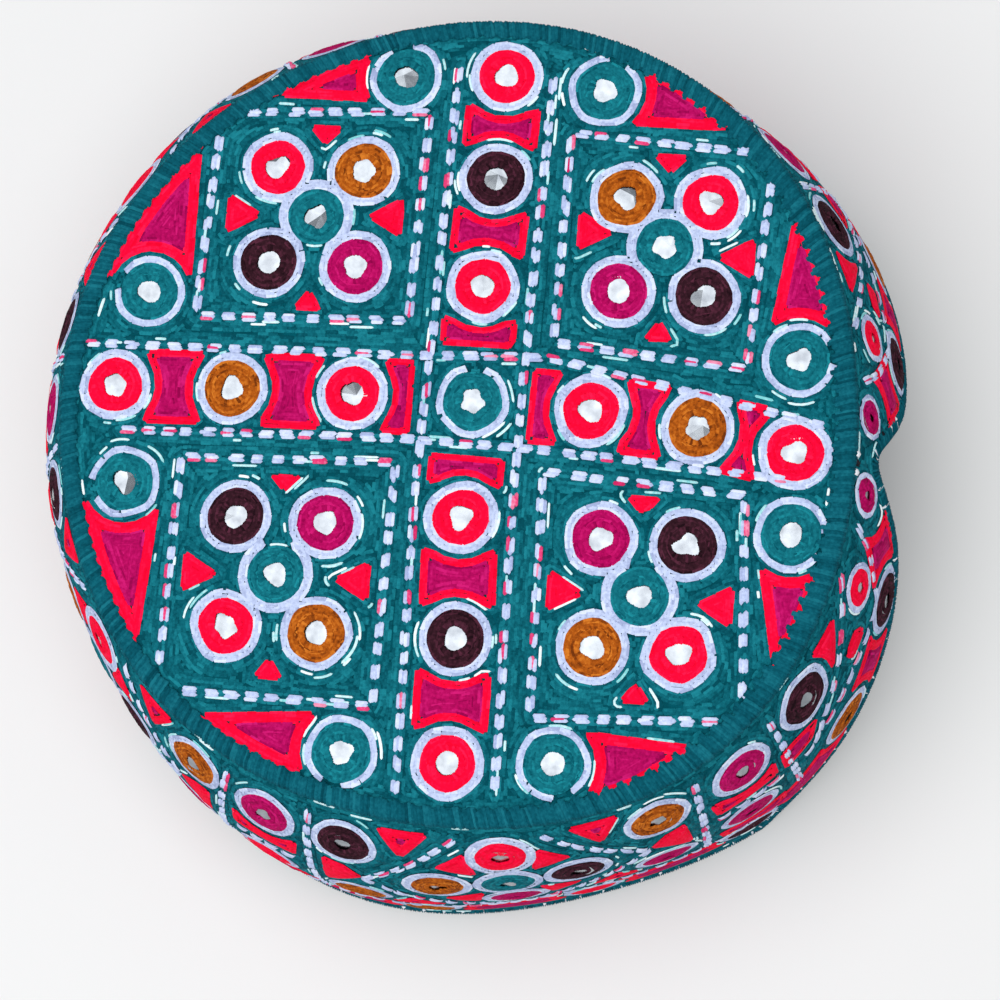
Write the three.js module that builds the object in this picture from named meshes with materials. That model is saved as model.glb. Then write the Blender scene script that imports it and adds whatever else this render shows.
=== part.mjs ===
import * as THREE from 'three';

// An embroidered cap resting on its rim. Z is up and the floor is Z 0. The front, with its
// arched opening, looks along -Y. Lengths are in millimetres. Angles are in degrees, counted
// from the front toward +X.

// Driving sizes
const crownRadius = 79;
const rimRadius = 94.6;
const wallHeight = 72.4;
const wallThickness = 2.6;
const crownThickness = 2.2;
const crownRise = 1.5;
const crownWave = 0.5;
const crownWaveCount = 3;
const crownWaveTurn = 34;
const rimShiftSide = -5.7;
const rimShiftBack = 1.1;
const archWidth = 155;
const archDrop = 8.4;
const edgingHeight = 3.2;
const edgingProud = 0.5;
const edgingRound = 0.9;
const seamReach = 2.6;
const seamDrop = 3.8;
const seamThickness = 1.3;
const seamTaper = 0.5;
const mirrorRadius = 4.2;
const mirrorThickness = 0.8;
const mirrorBevel = 0.25;
const clearance = 0.3;

// Fineness of the facets
const archStations = 15;
const backStations = 64;
const seamStations = 72;
const wallRows = 8;
const crownRings = 6;
const mirrorSides = 10;
const archCrowding = 1.4;
const rowCrowding = 1.3;

// Side wall from the crown's edge down: drop as a share of wallHeight, spread as a share of
// the growth from crownRadius to rimRadius.
const wallProfile = [
  { drop: 0, spread: 0 },
  { drop: 0.032, spread: 0.106 },
  { drop: 0.066, spread: 0.203 },
  { drop: 0.111, spread: 0.311 },
  { drop: 0.176, spread: 0.442 },
  { drop: 0.274, spread: 0.593 },
  { drop: 0.396, spread: 0.721 },
  { drop: 0.541, spread: 0.81 },
  { drop: 0.687, spread: 0.865 },
  { drop: 0.844, spread: 0.919 },
  { drop: 1, spread: 1 },
];

// Dents of the outline seen from above, as waves round the cap: shares of crownRadius at the
// crown's edge and of rimRadius at the rim.
const outlineWaves = [
  { count: 2, crownCos: -0.0035, crownSin: -0.001, rimCos: 0.012, rimSin: -0.0175 },
  { count: 3, crownCos: -0.0155, crownSin: -0.0055, rimCos: 0.014, rimSin: 0.016 },
  { count: 4, crownCos: -0.009, crownSin: -0.003, rimCos: -0.011, rimSin: -0.0025 },
  { count: 5, crownCos: 0, crownSin: 0.0035, rimCos: -0.015, rimSin: -0.0065 },
];

// Front arch: across as a share of half of archWidth, rise as a share of archHeight.
const archOutline = [
  { across: 0, rise: 1 },
  { across: 0.025, rise: 0.985 },
  { across: 0.06, rise: 0.94 },
  { across: 0.11, rise: 0.865 },
  { across: 0.17, rise: 0.77 },
  { across: 0.25, rise: 0.69 },
  { across: 0.35, rise: 0.61 },
  { across: 0.5, rise: 0.515 },
  { across: 0.67, rise: 0.395 },
  { across: 0.83, rise: 0.25 },
  { across: 0.93, rise: 0.12 },
  { across: 1, rise: 0 },
];

// Mirrors of the crown, in shares of crownRadius: front is toward the arch, side toward +X.
const crossMirrors = [
  { front: 0.04, side: 0.045 },
  { front: 0.335, side: 0.04 },
  { front: 0.6, side: 0.015 },
  { front: 0.84, side: -0.03 },
  { front: -0.265, side: 0.045 },
  { front: -0.575, side: 0.04 },
  { front: -0.88, side: 0.03 },
  { front: 0.04, side: 0.335 },
  { front: 0.05, side: 0.61 },
  { front: 0.055, side: 0.875 },
  { front: 0.035, side: -0.245 },
  { front: 0.045, side: -0.545 },
  { front: 0.05, side: -0.85 },
];
const edgeMirrors = [
  { front: -0.2, side: 0.86 },
  { front: -0.815, side: 0.275 },
  { front: 0.305, side: 0.85 },
  { front: 0.835, side: 0.2 },
  { front: -0.83, side: -0.215 },
  { front: -0.215, side: -0.845 },
  { front: 0.845, side: -0.23 },
  { front: 0.31, side: -0.83 },
];
// Each quarter of the crown has five mirrors: one in the middle and one at each corner.
const quarterMirrors = [
  { front: -0.398, side: 0.489, halfFront: 0.112, halfSide: 0.1225 },
  { front: 0.485, side: 0.462, halfFront: 0.1055, halfSide: 0.119 },
  { front: -0.418, side: -0.42, halfFront: 0.115, halfSide: 0.137 },
  { front: 0.49, side: -0.407, halfFront: 0.106, halfSide: 0.133 },
];

const fullTurn = 2 * Math.PI;
const growth = rimRadius - crownRadius;
const wallTop = wallHeight - crownThickness - clearance;
// The arch reaches to archDrop below the crown's edge
const archHeight = wallHeight - archDrop;

// Value of one column of a table at a place along another column, joined by straight lines
function readTable(rows, from, to, place) {
  const last = rows.length - 1;
  let i = 1;
  while (i < last && rows[i][from] < place) {
    i += 1;
  }
  const a = rows[i - 1];
  const b = rows[i];
  const share = THREE.MathUtils.clamp((place - a[from]) / (b[from] - a[from]), 0, 1);
  return THREE.MathUtils.lerp(a[to], b[to], share);
}

// Outer face of the cap at an angle and a height, shifted from its middle by an offset that
// counts outward
function wallPoint(angle, z, offset) {
  const spread = readTable(wallProfile, 'drop', 'spread', 1 - z / wallHeight);
  let radius = crownRadius + growth * spread + offset;
  for (const wave of outlineWaves) {
    const cos = Math.cos(wave.count * angle);
    const sin = Math.sin(wave.count * angle);
    const crown = crownRadius * (wave.crownCos * cos + wave.crownSin * sin);
    const rim = rimRadius * (wave.rimCos * cos + wave.rimSin * sin);
    radius += THREE.MathUtils.lerp(crown, rim, spread);
  }
  return new THREE.Vector3(
    rimShiftSide * spread + radius * Math.sin(angle),
    rimShiftBack * spread - radius * Math.cos(angle),
    z,
  );
}

// Height of the crown's upper face above its edge, at a share of the way out from the middle.
// The wave is highest part of the way out, where the factor 4 brings it to crownWave.
function crownLift(share, angle) {
  const square = share * share;
  const turn = THREE.MathUtils.degToRad(crownWaveTurn);
  const wave = crownWave * Math.cos(crownWaveCount * angle + turn);
  return crownRise * (1 - square) + wave * 4 * square * (1 - square);
}

// Closed body from equal closed sections that follow each other round the cap. Each section
// runs up its inside and down its outside.
function ringBody(sections) {
  const count = sections[0].length;
  const corners = [];
  const faces = [];
  sections.forEach((section) => section.forEach((p) => corners.push(p.x, p.y, p.z)));
  for (let i = 0; i < sections.length; i += 1) {
    const here = i * count;
    const there = ((i + 1) % sections.length) * count;
    for (let j = 0; j < count; j += 1) {
      const k = (j + 1) % count;
      faces.push(here + j, there + k, there + j);
      faces.push(here + j, here + k, there + k);
    }
  }
  return meshGeometry(corners, faces);
}

// Closed body from rings of points that run from the middle of the top, over the edge, to the
// middle of the bottom
function discBody(topMiddle, rings, bottomMiddle) {
  const count = rings[0].length;
  const corners = [topMiddle.x, topMiddle.y, topMiddle.z];
  const faces = [];
  rings.forEach((ring) => ring.forEach((p) => corners.push(p.x, p.y, p.z)));
  corners.push(bottomMiddle.x, bottomMiddle.y, bottomMiddle.z);
  const bottom = 1 + rings.length * count;
  const lastRing = bottom - count;
  for (let j = 0; j < count; j += 1) {
    const k = (j + 1) % count;
    faces.push(0, 1 + j, 1 + k);
    for (let i = 1; i < rings.length; i += 1) {
      const inner = 1 + (i - 1) * count;
      const outer = inner + count;
      faces.push(inner + j, outer + j, outer + k);
      faces.push(inner + j, outer + k, inner + k);
    }
    faces.push(bottom, lastRing + k, lastRing + j);
  }
  return meshGeometry(corners, faces);
}

function meshGeometry(corners, faces) {
  const geometry = new THREE.BufferGeometry();
  geometry.setAttribute('position', new THREE.Float32BufferAttribute(corners, 3));
  geometry.setIndex(faces);
  geometry.computeVertexNormals();
  return geometry;
}

// The cap's lower edge, laid flat: distance round the rim and height above the floor. It
// follows the arch from its middle on both sides and the floor behind.
function edgeLine() {
  const half = archWidth / 2;
  const line = [];
  for (let i = -archStations; i <= archStations; i += 1) {
    const share = Math.abs(i / archStations) ** archCrowding;
    const rise = readTable(archOutline, 'across', 'rise', share);
    line.push(new THREE.Vector2(Math.sign(i) * share * half, rise * archHeight));
  }
  const rest = fullTurn * rimRadius - archWidth;
  for (let i = 1; i < backStations; i += 1) {
    line.push(new THREE.Vector2(half + (rest * i) / backStations, 0));
  }
  return line;
}

// For each point of the lower edge, the step into the wall that keeps an even distance of 1
// from both stretches that meet there
function edgeSteps(line) {
  const around = new THREE.Vector2(fullTurn * rimRadius, 0);
  return line.map((point, i) => {
    const before = i > 0 ? line[i - 1].clone() : line[line.length - 1].clone().sub(around);
    const after = i < line.length - 1 ? line[i + 1].clone() : line[0].clone().add(around);
    const a = point.clone().sub(before).normalize();
    const b = after.sub(point).normalize();
    const step = new THREE.Vector2(-a.y - b.y, a.x + b.x).normalize();
    return step.divideScalar(step.dot(new THREE.Vector2(-a.y, a.x)));
  });
}

const lowerEdge = edgeLine();
const steps = edgeSteps(lowerEdge);

// A point of the cap at a distance into the wall from the lower edge
function edgePoint(i, distance, offset) {
  const flat = lowerEdge[i].clone().addScaledVector(steps[i], distance);
  return wallPoint(flat.x / rimRadius, Math.max(flat.y, 0), offset);
}

function sideWall() {
  const sections = lowerEdge.map((start, i) => {
    const flat = start.clone().addScaledVector(steps[i], edgingHeight + clearance);
    const angle = flat.x / rimRadius;
    const outer = [];
    const inner = [];
    for (let row = 0; row <= wallRows; row += 1) {
      const z = THREE.MathUtils.lerp(wallTop, flat.y, (row / wallRows) ** rowCrowding);
      outer.push(wallPoint(angle, z, 0));
      inner.unshift(wallPoint(angle, z, -wallThickness));
    }
    return [...inner, ...outer];
  });
  return ringBody(sections);
}

// A roll round the wall's lower edge, flat underneath
function rimEdging() {
  const outside = edgingProud;
  const inside = -wallThickness - edgingProud;
  const outline = [
    { distance: 0, offset: outside - edgingRound },
    { distance: edgingRound, offset: outside },
    { distance: edgingHeight - edgingRound, offset: outside },
    { distance: edgingHeight, offset: outside - edgingRound },
    { distance: edgingHeight, offset: inside + edgingRound },
    { distance: edgingHeight - edgingRound, offset: inside },
    { distance: edgingRound, offset: inside },
    { distance: 0, offset: inside + edgingRound },
  ];
  const sections = lowerEdge.map((_, i) =>
    outline.map((corner) => edgePoint(i, corner.distance, corner.offset)).reverse());
  return ringBody(sections);
}

function crownPanel() {
  const rings = [];
  for (let ring = 1; ring <= crownRings; ring += 1) {
    rings.push(crownRing(ring / crownRings, 0));
  }
  for (let ring = crownRings; ring >= 1; ring -= 1) {
    rings.push(crownRing(ring / crownRings, -crownThickness));
  }
  const middle = new THREE.Vector3(0, 0, wallHeight + crownLift(0, 0));
  const under = middle.clone();
  under.z -= crownThickness;
  return discBody(middle, rings, under);
}

function crownRing(share, below) {
  const ring = [];
  for (let i = 0; i < seamStations; i += 1) {
    const angle = (fullTurn * i) / seamStations;
    const point = wallPoint(angle, wallHeight, 0).multiplyScalar(share);
    point.z = wallHeight + crownLift(share, angle) + below;
    ring.push(point);
  }
  return ring;
}

// The overcast seam lies over the corner where the crown meets the side wall
function crownSeam() {
  const proud = clearance + seamThickness;
  const thin = clearance + seamThickness * seamTaper;
  const low = wallHeight - seamDrop;
  const inner = 1 - seamReach / crownRadius;
  const sections = [];
  for (let i = 0; i < seamStations; i += 1) {
    const angle = (fullTurn * i) / seamStations;
    const lift = crownLift(inner, angle);
    const section = [
      raised(wallPoint(angle, wallHeight, -seamReach), clearance + lift),
      raised(wallPoint(angle, wallHeight, clearance), clearance),
      raised(wallPoint(angle, wallHeight, clearance), -crownThickness / 2),
      wallPoint(angle, wallTop, clearance),
      wallPoint(angle, low, clearance),
      wallPoint(angle, low, thin),
      wallPoint(angle, wallTop, proud),
      wallPoint(angle, wallHeight, proud),
      raised(wallPoint(angle, wallHeight, 0), proud),
      raised(wallPoint(angle, wallHeight, -seamReach / 2), proud + lift / 2),
      raised(wallPoint(angle, wallHeight, -seamReach), thin + lift),
    ];
    sections.push(section.reverse());
  }
  return ringBody(sections);
}

function raised(point, lift) {
  point.z += lift;
  return point;
}

// A round mirror with a bevelled upper edge, lying on the crown's embroidery
function crownMirror() {
  const flat = mirrorRadius - mirrorBevel;
  const outline = [
    new THREE.Vector2(0, 0),
    new THREE.Vector2(mirrorRadius, 0),
    new THREE.Vector2(mirrorRadius, mirrorThickness - mirrorBevel),
    new THREE.Vector2(flat, mirrorThickness),
    new THREE.Vector2(0, mirrorThickness),
  ];
  const geometry = new THREE.LatheGeometry(outline, mirrorSides);
  geometry.rotateX(Math.PI / 2);
  return geometry;
}

function crownSurface(x, y) {
  const angle = Math.atan2(x, -y);
  const edge = wallPoint(angle, wallHeight, 0);
  const share = Math.hypot(x, y) / Math.hypot(edge.x, edge.y);
  return new THREE.Vector3(x, y, wallHeight + crownLift(share, angle));
}

function placeMirror(mesh, front, side) {
  const x = side * crownRadius;
  const y = -front * crownRadius;
  const middle = crownSurface(x, y);
  const alongX = crownSurface(x + 1, y).sub(crownSurface(x - 1, y));
  const alongY = crownSurface(x, y + 1).sub(crownSurface(x, y - 1));
  const normal = alongX.cross(alongY).normalize();
  mesh.quaternion.setFromUnitVectors(new THREE.Vector3(0, 0, 1), normal);
  mesh.position.copy(middle).addScaledVector(normal, clearance);
}

const cloth = { color: 0x00686e, roughness: 0.9, metalness: 0 };
const thread = { color: 0x00565e, roughness: 0.85, metalness: 0 };
const edgeThread = { color: 0xd8dde0, roughness: 0.85, metalness: 0 };
const glass = { color: 0xdfe6ee, roughness: 0.08, metalness: 0.9 };

const cap = new THREE.Group();

function addMesh(name, geometry, look) {
  const mesh = new THREE.Mesh(geometry, new THREE.MeshStandardMaterial(look));
  mesh.name = name;
  cap.add(mesh);
  return mesh;
}

addMesh('crown_panel', crownPanel(), cloth);
addMesh('side_wall', sideWall(), cloth);
addMesh('crown_seam', crownSeam(), thread);
addMesh('rim_edging', rimEdging(), edgeThread);

const mirrorPlaces = [...crossMirrors, ...edgeMirrors];
for (const quarter of quarterMirrors) {
  mirrorPlaces.push({ front: quarter.front, side: quarter.side });
  for (const [f, s] of [[-1, 1], [1, 1], [-1, -1], [1, -1]]) {
    mirrorPlaces.push({
      front: quarter.front + f * quarter.halfFront,
      side: quarter.side + s * quarter.halfSide,
    });
  }
}
mirrorPlaces.forEach((place, i) => {
  const name = `crown_mirror_${String(i + 1).padStart(2, '0')}`;
  placeMirror(addMesh(name, crownMirror(), glass), place.front, place.side);
});

// The origin is the middle of the cap's box seen from above, on the floor
cap.updateMatrixWorld(true);
const box = new THREE.Box3().setFromObject(cap, true);
const middle = box.getCenter(new THREE.Vector3());
cap.position.set(-middle.x, -middle.y, -box.min.z);

export default cap;
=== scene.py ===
import bpy
import numpy as np
from mathutils import Matrix, Vector


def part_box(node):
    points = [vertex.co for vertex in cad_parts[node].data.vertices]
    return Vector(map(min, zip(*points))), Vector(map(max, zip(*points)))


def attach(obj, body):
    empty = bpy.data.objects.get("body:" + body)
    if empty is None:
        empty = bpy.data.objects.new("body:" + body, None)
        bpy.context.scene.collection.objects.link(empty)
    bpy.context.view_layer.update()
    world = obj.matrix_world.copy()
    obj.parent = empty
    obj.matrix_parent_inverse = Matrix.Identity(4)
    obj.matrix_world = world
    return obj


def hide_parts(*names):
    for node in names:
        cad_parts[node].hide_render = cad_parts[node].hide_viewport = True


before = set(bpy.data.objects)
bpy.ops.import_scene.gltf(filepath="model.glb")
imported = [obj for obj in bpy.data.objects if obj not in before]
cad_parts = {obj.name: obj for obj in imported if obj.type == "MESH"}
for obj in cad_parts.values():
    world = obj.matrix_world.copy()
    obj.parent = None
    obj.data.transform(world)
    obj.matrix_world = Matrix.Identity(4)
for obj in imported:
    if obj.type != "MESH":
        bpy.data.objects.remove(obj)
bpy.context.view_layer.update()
dice = np.random.default_rng(7)
mm = 0.001

# Studio
# A pale floor that the cap stands on, one wide soft light overhead, a pale room, and a camera
# nearly above the cap, which looks down on the crown and a little of the front and the left side.

# The camera's distance from the crown's top, its tilt from overhead, turn and roll in radians, and
# its lens, as pixels of the picture for a slope of one
camera_distance = 480.0
camera_tilt = 0.16845
camera_turn = 4.0901
camera_roll = 0.08333
picture_pixels = 1000.0
focal_pixels = 2462.64
sensor_width = 36.0
# Where it aims, from the middle of the cap
aim_side, aim_back = -8.27, -14.26
floor_half = 3000.0
light_side, light_back, light_height = -150.0, 120.0, 1100.0
light_size = 1400.0
light_watts = 13.5
room_colour = (0.86, 0.89, 0.93)
room_strength = 0.5
floor_colour = (0.80, 0.80, 0.79)
crown_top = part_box("crown_panel")[1].z / mm


def plain_material(name, colour, roughness):
    material = bpy.data.materials.new(name)
    material.use_nodes = True
    shader = material.node_tree.nodes["Principled BSDF"]
    shader.inputs["Base Color"].default_value = (*colour, 1)
    shader.inputs["Roughness"].default_value = roughness
    return material


back = Vector((np.sin(camera_tilt) * np.cos(camera_turn), np.sin(camera_tilt) * np.sin(camera_turn),
               np.cos(camera_tilt)))
right = Vector((np.cos(camera_roll), np.sin(camera_roll), 0)).cross(back).normalized()
up = back.cross(right)
eye = (Vector((aim_side, aim_back, crown_top)) + camera_distance * back) * mm
camera = bpy.data.objects.new("camera", bpy.data.cameras.new("camera"))
camera.data.sensor_width = sensor_width
camera.data.lens = sensor_width * focal_pixels / picture_pixels
camera.matrix_world = Matrix.Translation(eye) @ Matrix((right, up, back)).transposed().to_4x4()
bpy.context.scene.collection.objects.link(camera)
bpy.context.scene.camera = camera
bpy.context.scene.view_settings.view_transform = "Standard"

floor_mesh = bpy.data.meshes.new("floor")
floor_corners = ((-1, -1), (1, -1), (1, 1), (-1, 1))
floor_mesh.from_pydata([Vector((x, y, 0)) * floor_half * mm for x, y in floor_corners], [], [(0, 1, 2, 3)])
floor_mesh.materials.append(plain_material("pale floor", floor_colour, 0.8))
floor = bpy.data.objects.new("floor", floor_mesh)
bpy.context.scene.collection.objects.link(floor)

softbox = bpy.data.objects.new("softbox", bpy.data.lights.new("softbox", "AREA"))
softbox.data.size = light_size * mm
softbox.data.energy = light_watts
softbox.location = Vector((light_side, light_back, light_height)) * mm
softbox.rotation_euler = (-Vector(softbox.location)).to_track_quat("-Z", "Y").to_euler()
bpy.context.scene.collection.objects.link(softbox)
room = bpy.data.worlds.new("room")
room.use_nodes = True
room.node_tree.nodes["Background"].inputs["Color"].default_value = (*room_colour, 1)
room.node_tree.nodes["Background"].inputs["Strength"].default_value = room_strength
bpy.context.scene.world = room

# Crown cloth
# The flat round top is several layers of cotton quilted together, dark teal between the
# stitches. It is a little domed, and its outline has the dents of a cap shaped by hand.
crown_radius = 79.0
rim_radius = 94.6
crown_rise = 1.5
crown_wave = 0.5
crown_wave_count = 3
crown_wave_turn = np.radians(34)
crown_thickness = 2.2
crown_edge_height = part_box("crown_panel")[0].z / mm + crown_thickness
rim_shift_side, rim_shift_back = -5.7, 1.1
# Waves round the cap: count, then shares of the radius at the crown's edge and at the rim
outline_waves = [(2, -0.0035, -0.001, 0.012, -0.0175), (3, -0.0155, -0.0055, 0.014, 0.016),
                 (4, -0.009, -0.003, -0.011, -0.0025), (5, 0, 0.0035, -0.015, -0.0065)]
dark_teal = (0.0, 0.07, 0.095)


def crown_outline(angle):
    share = 1 + sum(c * np.cos(n * angle) + s * np.sin(n * angle) for n, c, s, _, _ in outline_waves)
    return crown_radius * share


def rim_outline(angle):
    share = 1 + sum(c * np.cos(n * angle) + s * np.sin(n * angle) for n, _, _, c, s in outline_waves)
    return rim_radius * share


all_round = np.linspace(0, 2 * np.pi, 721)
crown_x = crown_outline(all_round) * np.sin(all_round)
crown_y = -crown_outline(all_round) * np.cos(all_round)
crown_low, crown_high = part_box("crown_panel")
cap_shift = np.array([(crown_low.x + crown_high.x) / mm / 2 - (crown_x.max() + crown_x.min()) / 2,
                      (crown_low.y + crown_high.y) / mm / 2 - (crown_y.max() + crown_y.min()) / 2, 0])


def crown_lift(side, back):
    """Height of the crown's cloth at millimetres to the side and to the back of its middle"""
    angle = np.arctan2(side, -back)
    share = np.clip(np.hypot(side, back) / crown_outline(angle), 0, 1)
    wave = crown_wave * np.cos(crown_wave_count * angle + crown_wave_turn)
    return crown_edge_height + crown_rise * (1 - share**2) + wave * 4 * share**2 * (1 - share**2)


def crown_place(side, back):
    """Points on the crown and the directions that point out of it there"""
    step = 0.5
    height = crown_lift(side, back)
    slope_side = (crown_lift(side + step, back) - crown_lift(side - step, back)) / (2 * step)
    slope_back = (crown_lift(side, back + step) - crown_lift(side, back - step)) / (2 * step)
    out = np.stack([-slope_side, -slope_back, np.ones_like(side)], -1)
    return np.stack([side, back, height], -1), out / np.linalg.norm(out, axis=-1, keepdims=True)


def add_piece(name, points, faces, material, uv=None, shade=None, smooth=True):
    """A mesh from points in millimetres and rows of corners. uv has a place for each corner of
    each face, and shade a value for each point."""
    mesh = bpy.data.meshes.new(name)
    count, corners = faces.shape
    mesh.vertices.add(len(points))
    mesh.vertices.foreach_set("co", ((points + cap_shift) * mm).astype(np.float32).ravel())
    mesh.loops.add(count * corners)
    mesh.loops.foreach_set("vertex_index", faces.astype(np.int32).ravel())
    mesh.polygons.add(count)
    mesh.polygons.foreach_set("loop_start", np.arange(0, count * corners, corners, dtype=np.int32))
    mesh.polygons.foreach_set("use_smooth", np.full(count, smooth))
    if uv is not None:
        layer = mesh.uv_layers.new(name="OFBake")
        layer.data.foreach_set("uv", uv.astype(np.float32).ravel())
    if shade is not None:
        tone = mesh.attributes.new("shade", "FLOAT", "POINT")
        tone.data.foreach_set("value", shade.astype(np.float32))
    mesh.update(calc_edges=True)
    mesh.validate()
    mesh.materials.append(material)
    piece = bpy.data.objects.new(name, mesh)
    bpy.context.scene.collection.objects.link(piece)
    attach(piece, "root")
    return piece


def grid_faces(rows, columns):
    """Corners of the quads of a grid whose columns close into a ring"""
    row, column = np.meshgrid(np.arange(rows - 1), np.arange(columns), indexing="ij")
    after = (column + 1) % columns
    corners = [row * columns + column, (row + 1) * columns + column, (row + 1) * columns + after,
               row * columns + after]
    return np.stack(corners, -1).reshape(-1, 4)


def grid_uv(rows, columns):
    """A place in the baked picture for each corner of each quad of a closed grid"""
    row, column = np.meshgrid(np.arange(rows - 1), np.arange(columns), indexing="ij")
    corners = [np.stack([(column + c) / columns, (row + r) / (rows - 1)], -1)
               for r, c in ((0, 0), (1, 0), (1, 1), (0, 1))]
    return np.stack(corners, -2).reshape(-1, 2)


def add_patches(material, dark, light, scale, detail):
    """Colours a material in soft patches of two shades. Returns the node that tells the place."""
    nodes, links = material.node_tree.nodes, material.node_tree.links
    place = nodes.new("ShaderNodeTexCoord")
    patches = nodes.new("ShaderNodeTexNoise")
    patches.inputs["Scale"].default_value = scale
    patches.inputs["Detail"].default_value = detail
    ramp = nodes.new("ShaderNodeValToRGB")
    ramp.color_ramp.elements[0].position = 0.3
    ramp.color_ramp.elements[0].color = (*dark, 1)
    ramp.color_ramp.elements[1].position = 0.7
    ramp.color_ramp.elements[1].color = (*light, 1)
    links.new(place.outputs["Object"], patches.inputs["Vector"])
    links.new(patches.outputs["Fac"], ramp.inputs["Fac"])
    links.new(ramp.outputs["Color"], nodes["Principled BSDF"].inputs["Base Color"])
    return place


def add_bump(material, height, strength, distance):
    """Raises a material's surface by a node's output, over a distance in millimetres"""
    nodes, links = material.node_tree.nodes, material.node_tree.links
    bump = nodes.new("ShaderNodeBump")
    bump.inputs["Strength"].default_value = strength
    bump.inputs["Distance"].default_value = distance * mm
    links.new(height, bump.inputs["Height"])
    links.new(bump.outputs["Normal"], nodes["Principled BSDF"].inputs["Normal"])


def cloth_material(name, colour, weave_size, tone):
    """Plain woven cotton: two crossed sets of fine waves for the weave, and patchy dye"""
    material = plain_material(name, colour, 0.9)
    nodes, links = material.node_tree.nodes, material.node_tree.links
    nodes["Principled BSDF"].inputs["Specular IOR Level"].default_value = 0.05
    dark = [c * (1 - tone) for c in colour]
    light = [min(c * (1 + tone), 1) for c in colour]
    place = add_patches(material, dark, light, scale=220, detail=5)
    waves = []
    for direction in ("X", "Y"):
        wave = nodes.new("ShaderNodeTexWave")
        wave.bands_direction = direction
        wave.inputs["Scale"].default_value = 0.3 / (weave_size * mm)
        wave.inputs["Distortion"].default_value = 1.5
        links.new(place.outputs["Object"], wave.inputs["Vector"])
        waves.append(wave)
    weave = nodes.new("ShaderNodeMath")
    weave.operation = "MAXIMUM"
    links.new(waves[0].outputs["Fac"], weave.inputs[0])
    links.new(waves[1].outputs["Fac"], weave.inputs[1])
    add_bump(material, weave.outputs["Value"], strength=0.5, distance=0.15)
    return material


crown_rings, under_rings, crown_spokes = 60, 12, 240
first_ring_share = 0.01
# The cloth runs from the middle of its upper face, over the edge, to the middle of its lower face
ring_shares = np.concatenate([np.linspace(first_ring_share, 1, crown_rings),
                              np.linspace(1, first_ring_share, under_rings)])
ring_angles = np.linspace(0, 2 * np.pi, crown_spokes, endpoint=False)
spread_to = ring_shares[:, None] * crown_outline(ring_angles)[None, :]
crown_points, _ = crown_place(spread_to * np.sin(ring_angles), -spread_to * np.cos(ring_angles))
crown_points[crown_rings:, :, 2] -= crown_thickness
teal_cloth = cloth_material("teal cotton", dark_teal, weave_size=0.5, tone=0.35)
cloth_rows = crown_rings + under_rings
crown_cloth = add_piece("crown_cloth", crown_points.reshape(-1, 3), grid_faces(cloth_rows, crown_spokes),
                        teal_cloth, grid_uv(cloth_rows, crown_spokes))
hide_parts("crown_panel")

# Crown mirrors
# Each medallion holds a small piece of thin mirror glass, cut by hand into a rough round, a
# little bent and tilted, and held by the thread round its edge.
mirror_radius = 3.1
mirror_lift = 0.22
# The lowest that any corner of a mirror lies over the cloth
mirror_seat = 0.08
mirror_sides = 8
mirror_bend = 0.45
mirror_tilt = 0.15
mirror_count = 41


def mirror_points(places, outs, radius):
    """Rows of points for rough round mirrors: a middle point off centre, and the rim"""
    count = len(places)
    aside = np.cross(outs, np.array([0.31, 0.95, 0.05]))
    aside /= np.linalg.norm(aside, axis=-1, keepdims=True)
    ahead = np.cross(outs, aside)
    turn = dice.uniform(0, 2 * np.pi, (count, 1)) + np.linspace(0, 2 * np.pi, mirror_sides, endpoint=False)
    turn = turn + dice.normal(0, 0.12, turn.shape)
    reach = radius * dice.uniform(0.9, 1.06, turn.shape)
    x, y = reach * np.cos(turn), reach * np.sin(turn)
    tip_x, tip_y = dice.uniform(-0.45, 0.45, (2, count, 1)) * radius
    x, y = np.concatenate([tip_x, x], 1), np.concatenate([tip_y, y], 1)
    slope_x, slope_y = dice.normal(0, mirror_tilt, (2, count, 1))
    height = mirror_lift + slope_x * x * 0.5 + slope_y * y * 0.5
    height[:, 0] += mirror_bend * dice.uniform(-0.4, 1, count)
    height[:, 1:] += dice.uniform(-0.12, 0.12, (count, mirror_sides))
    height = np.maximum(height, mirror_seat)
    return (places[:, None] + x[..., None] * aside[:, None] + y[..., None] * ahead[:, None]
            + height[..., None] * outs[:, None])


def mirror_faces(count):
    """Corners of the flat facets, each from the middle point to two points of the rim"""
    rim = np.arange(mirror_sides)
    fan = np.stack([np.zeros_like(rim), 1 + rim, 1 + (rim + 1) % mirror_sides], -1)
    return (fan[None] + np.arange(count)[:, None, None] * (mirror_sides + 1)).reshape(-1, 3)


def cell_uv(count, inner):
    """Places for count items in square cells of the baked picture, from places within a cell"""
    side = int(np.ceil(np.sqrt(count)))
    cell = np.stack([np.arange(count) % side, np.arange(count) // side], -1)
    return ((cell[:, None] + inner[None]) / side).reshape(-1, 2)


def add_mirrors(name, places, outs, radius):
    """One mesh of loose mirrors"""
    rim = 2 * np.pi * np.arange(mirror_sides + 1) / mirror_sides
    spoke = np.stack([0.5 + 0.42 * np.cos(rim), 0.5 + 0.42 * np.sin(rim)], -1)
    middle = np.full((mirror_sides, 2), 0.5)
    inner = np.stack([middle, spoke[:-1], spoke[1:]], 1).reshape(-1, 2)
    points = mirror_points(places, outs, radius)
    return add_piece(name, points.reshape(-1, 3), mirror_faces(len(places)), mirror_glass,
                     cell_uv(len(places), inner), smooth=False)


def mirror_material(name, dull, bright):
    """Old silvered glass: a bright mirror that has gone dull in patches"""
    material = plain_material(name, bright, 0.2)
    material.node_tree.nodes["Principled BSDF"].inputs["Metallic"].default_value = 1.0
    add_patches(material, dull, bright, scale=420, detail=3)
    return material


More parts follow.
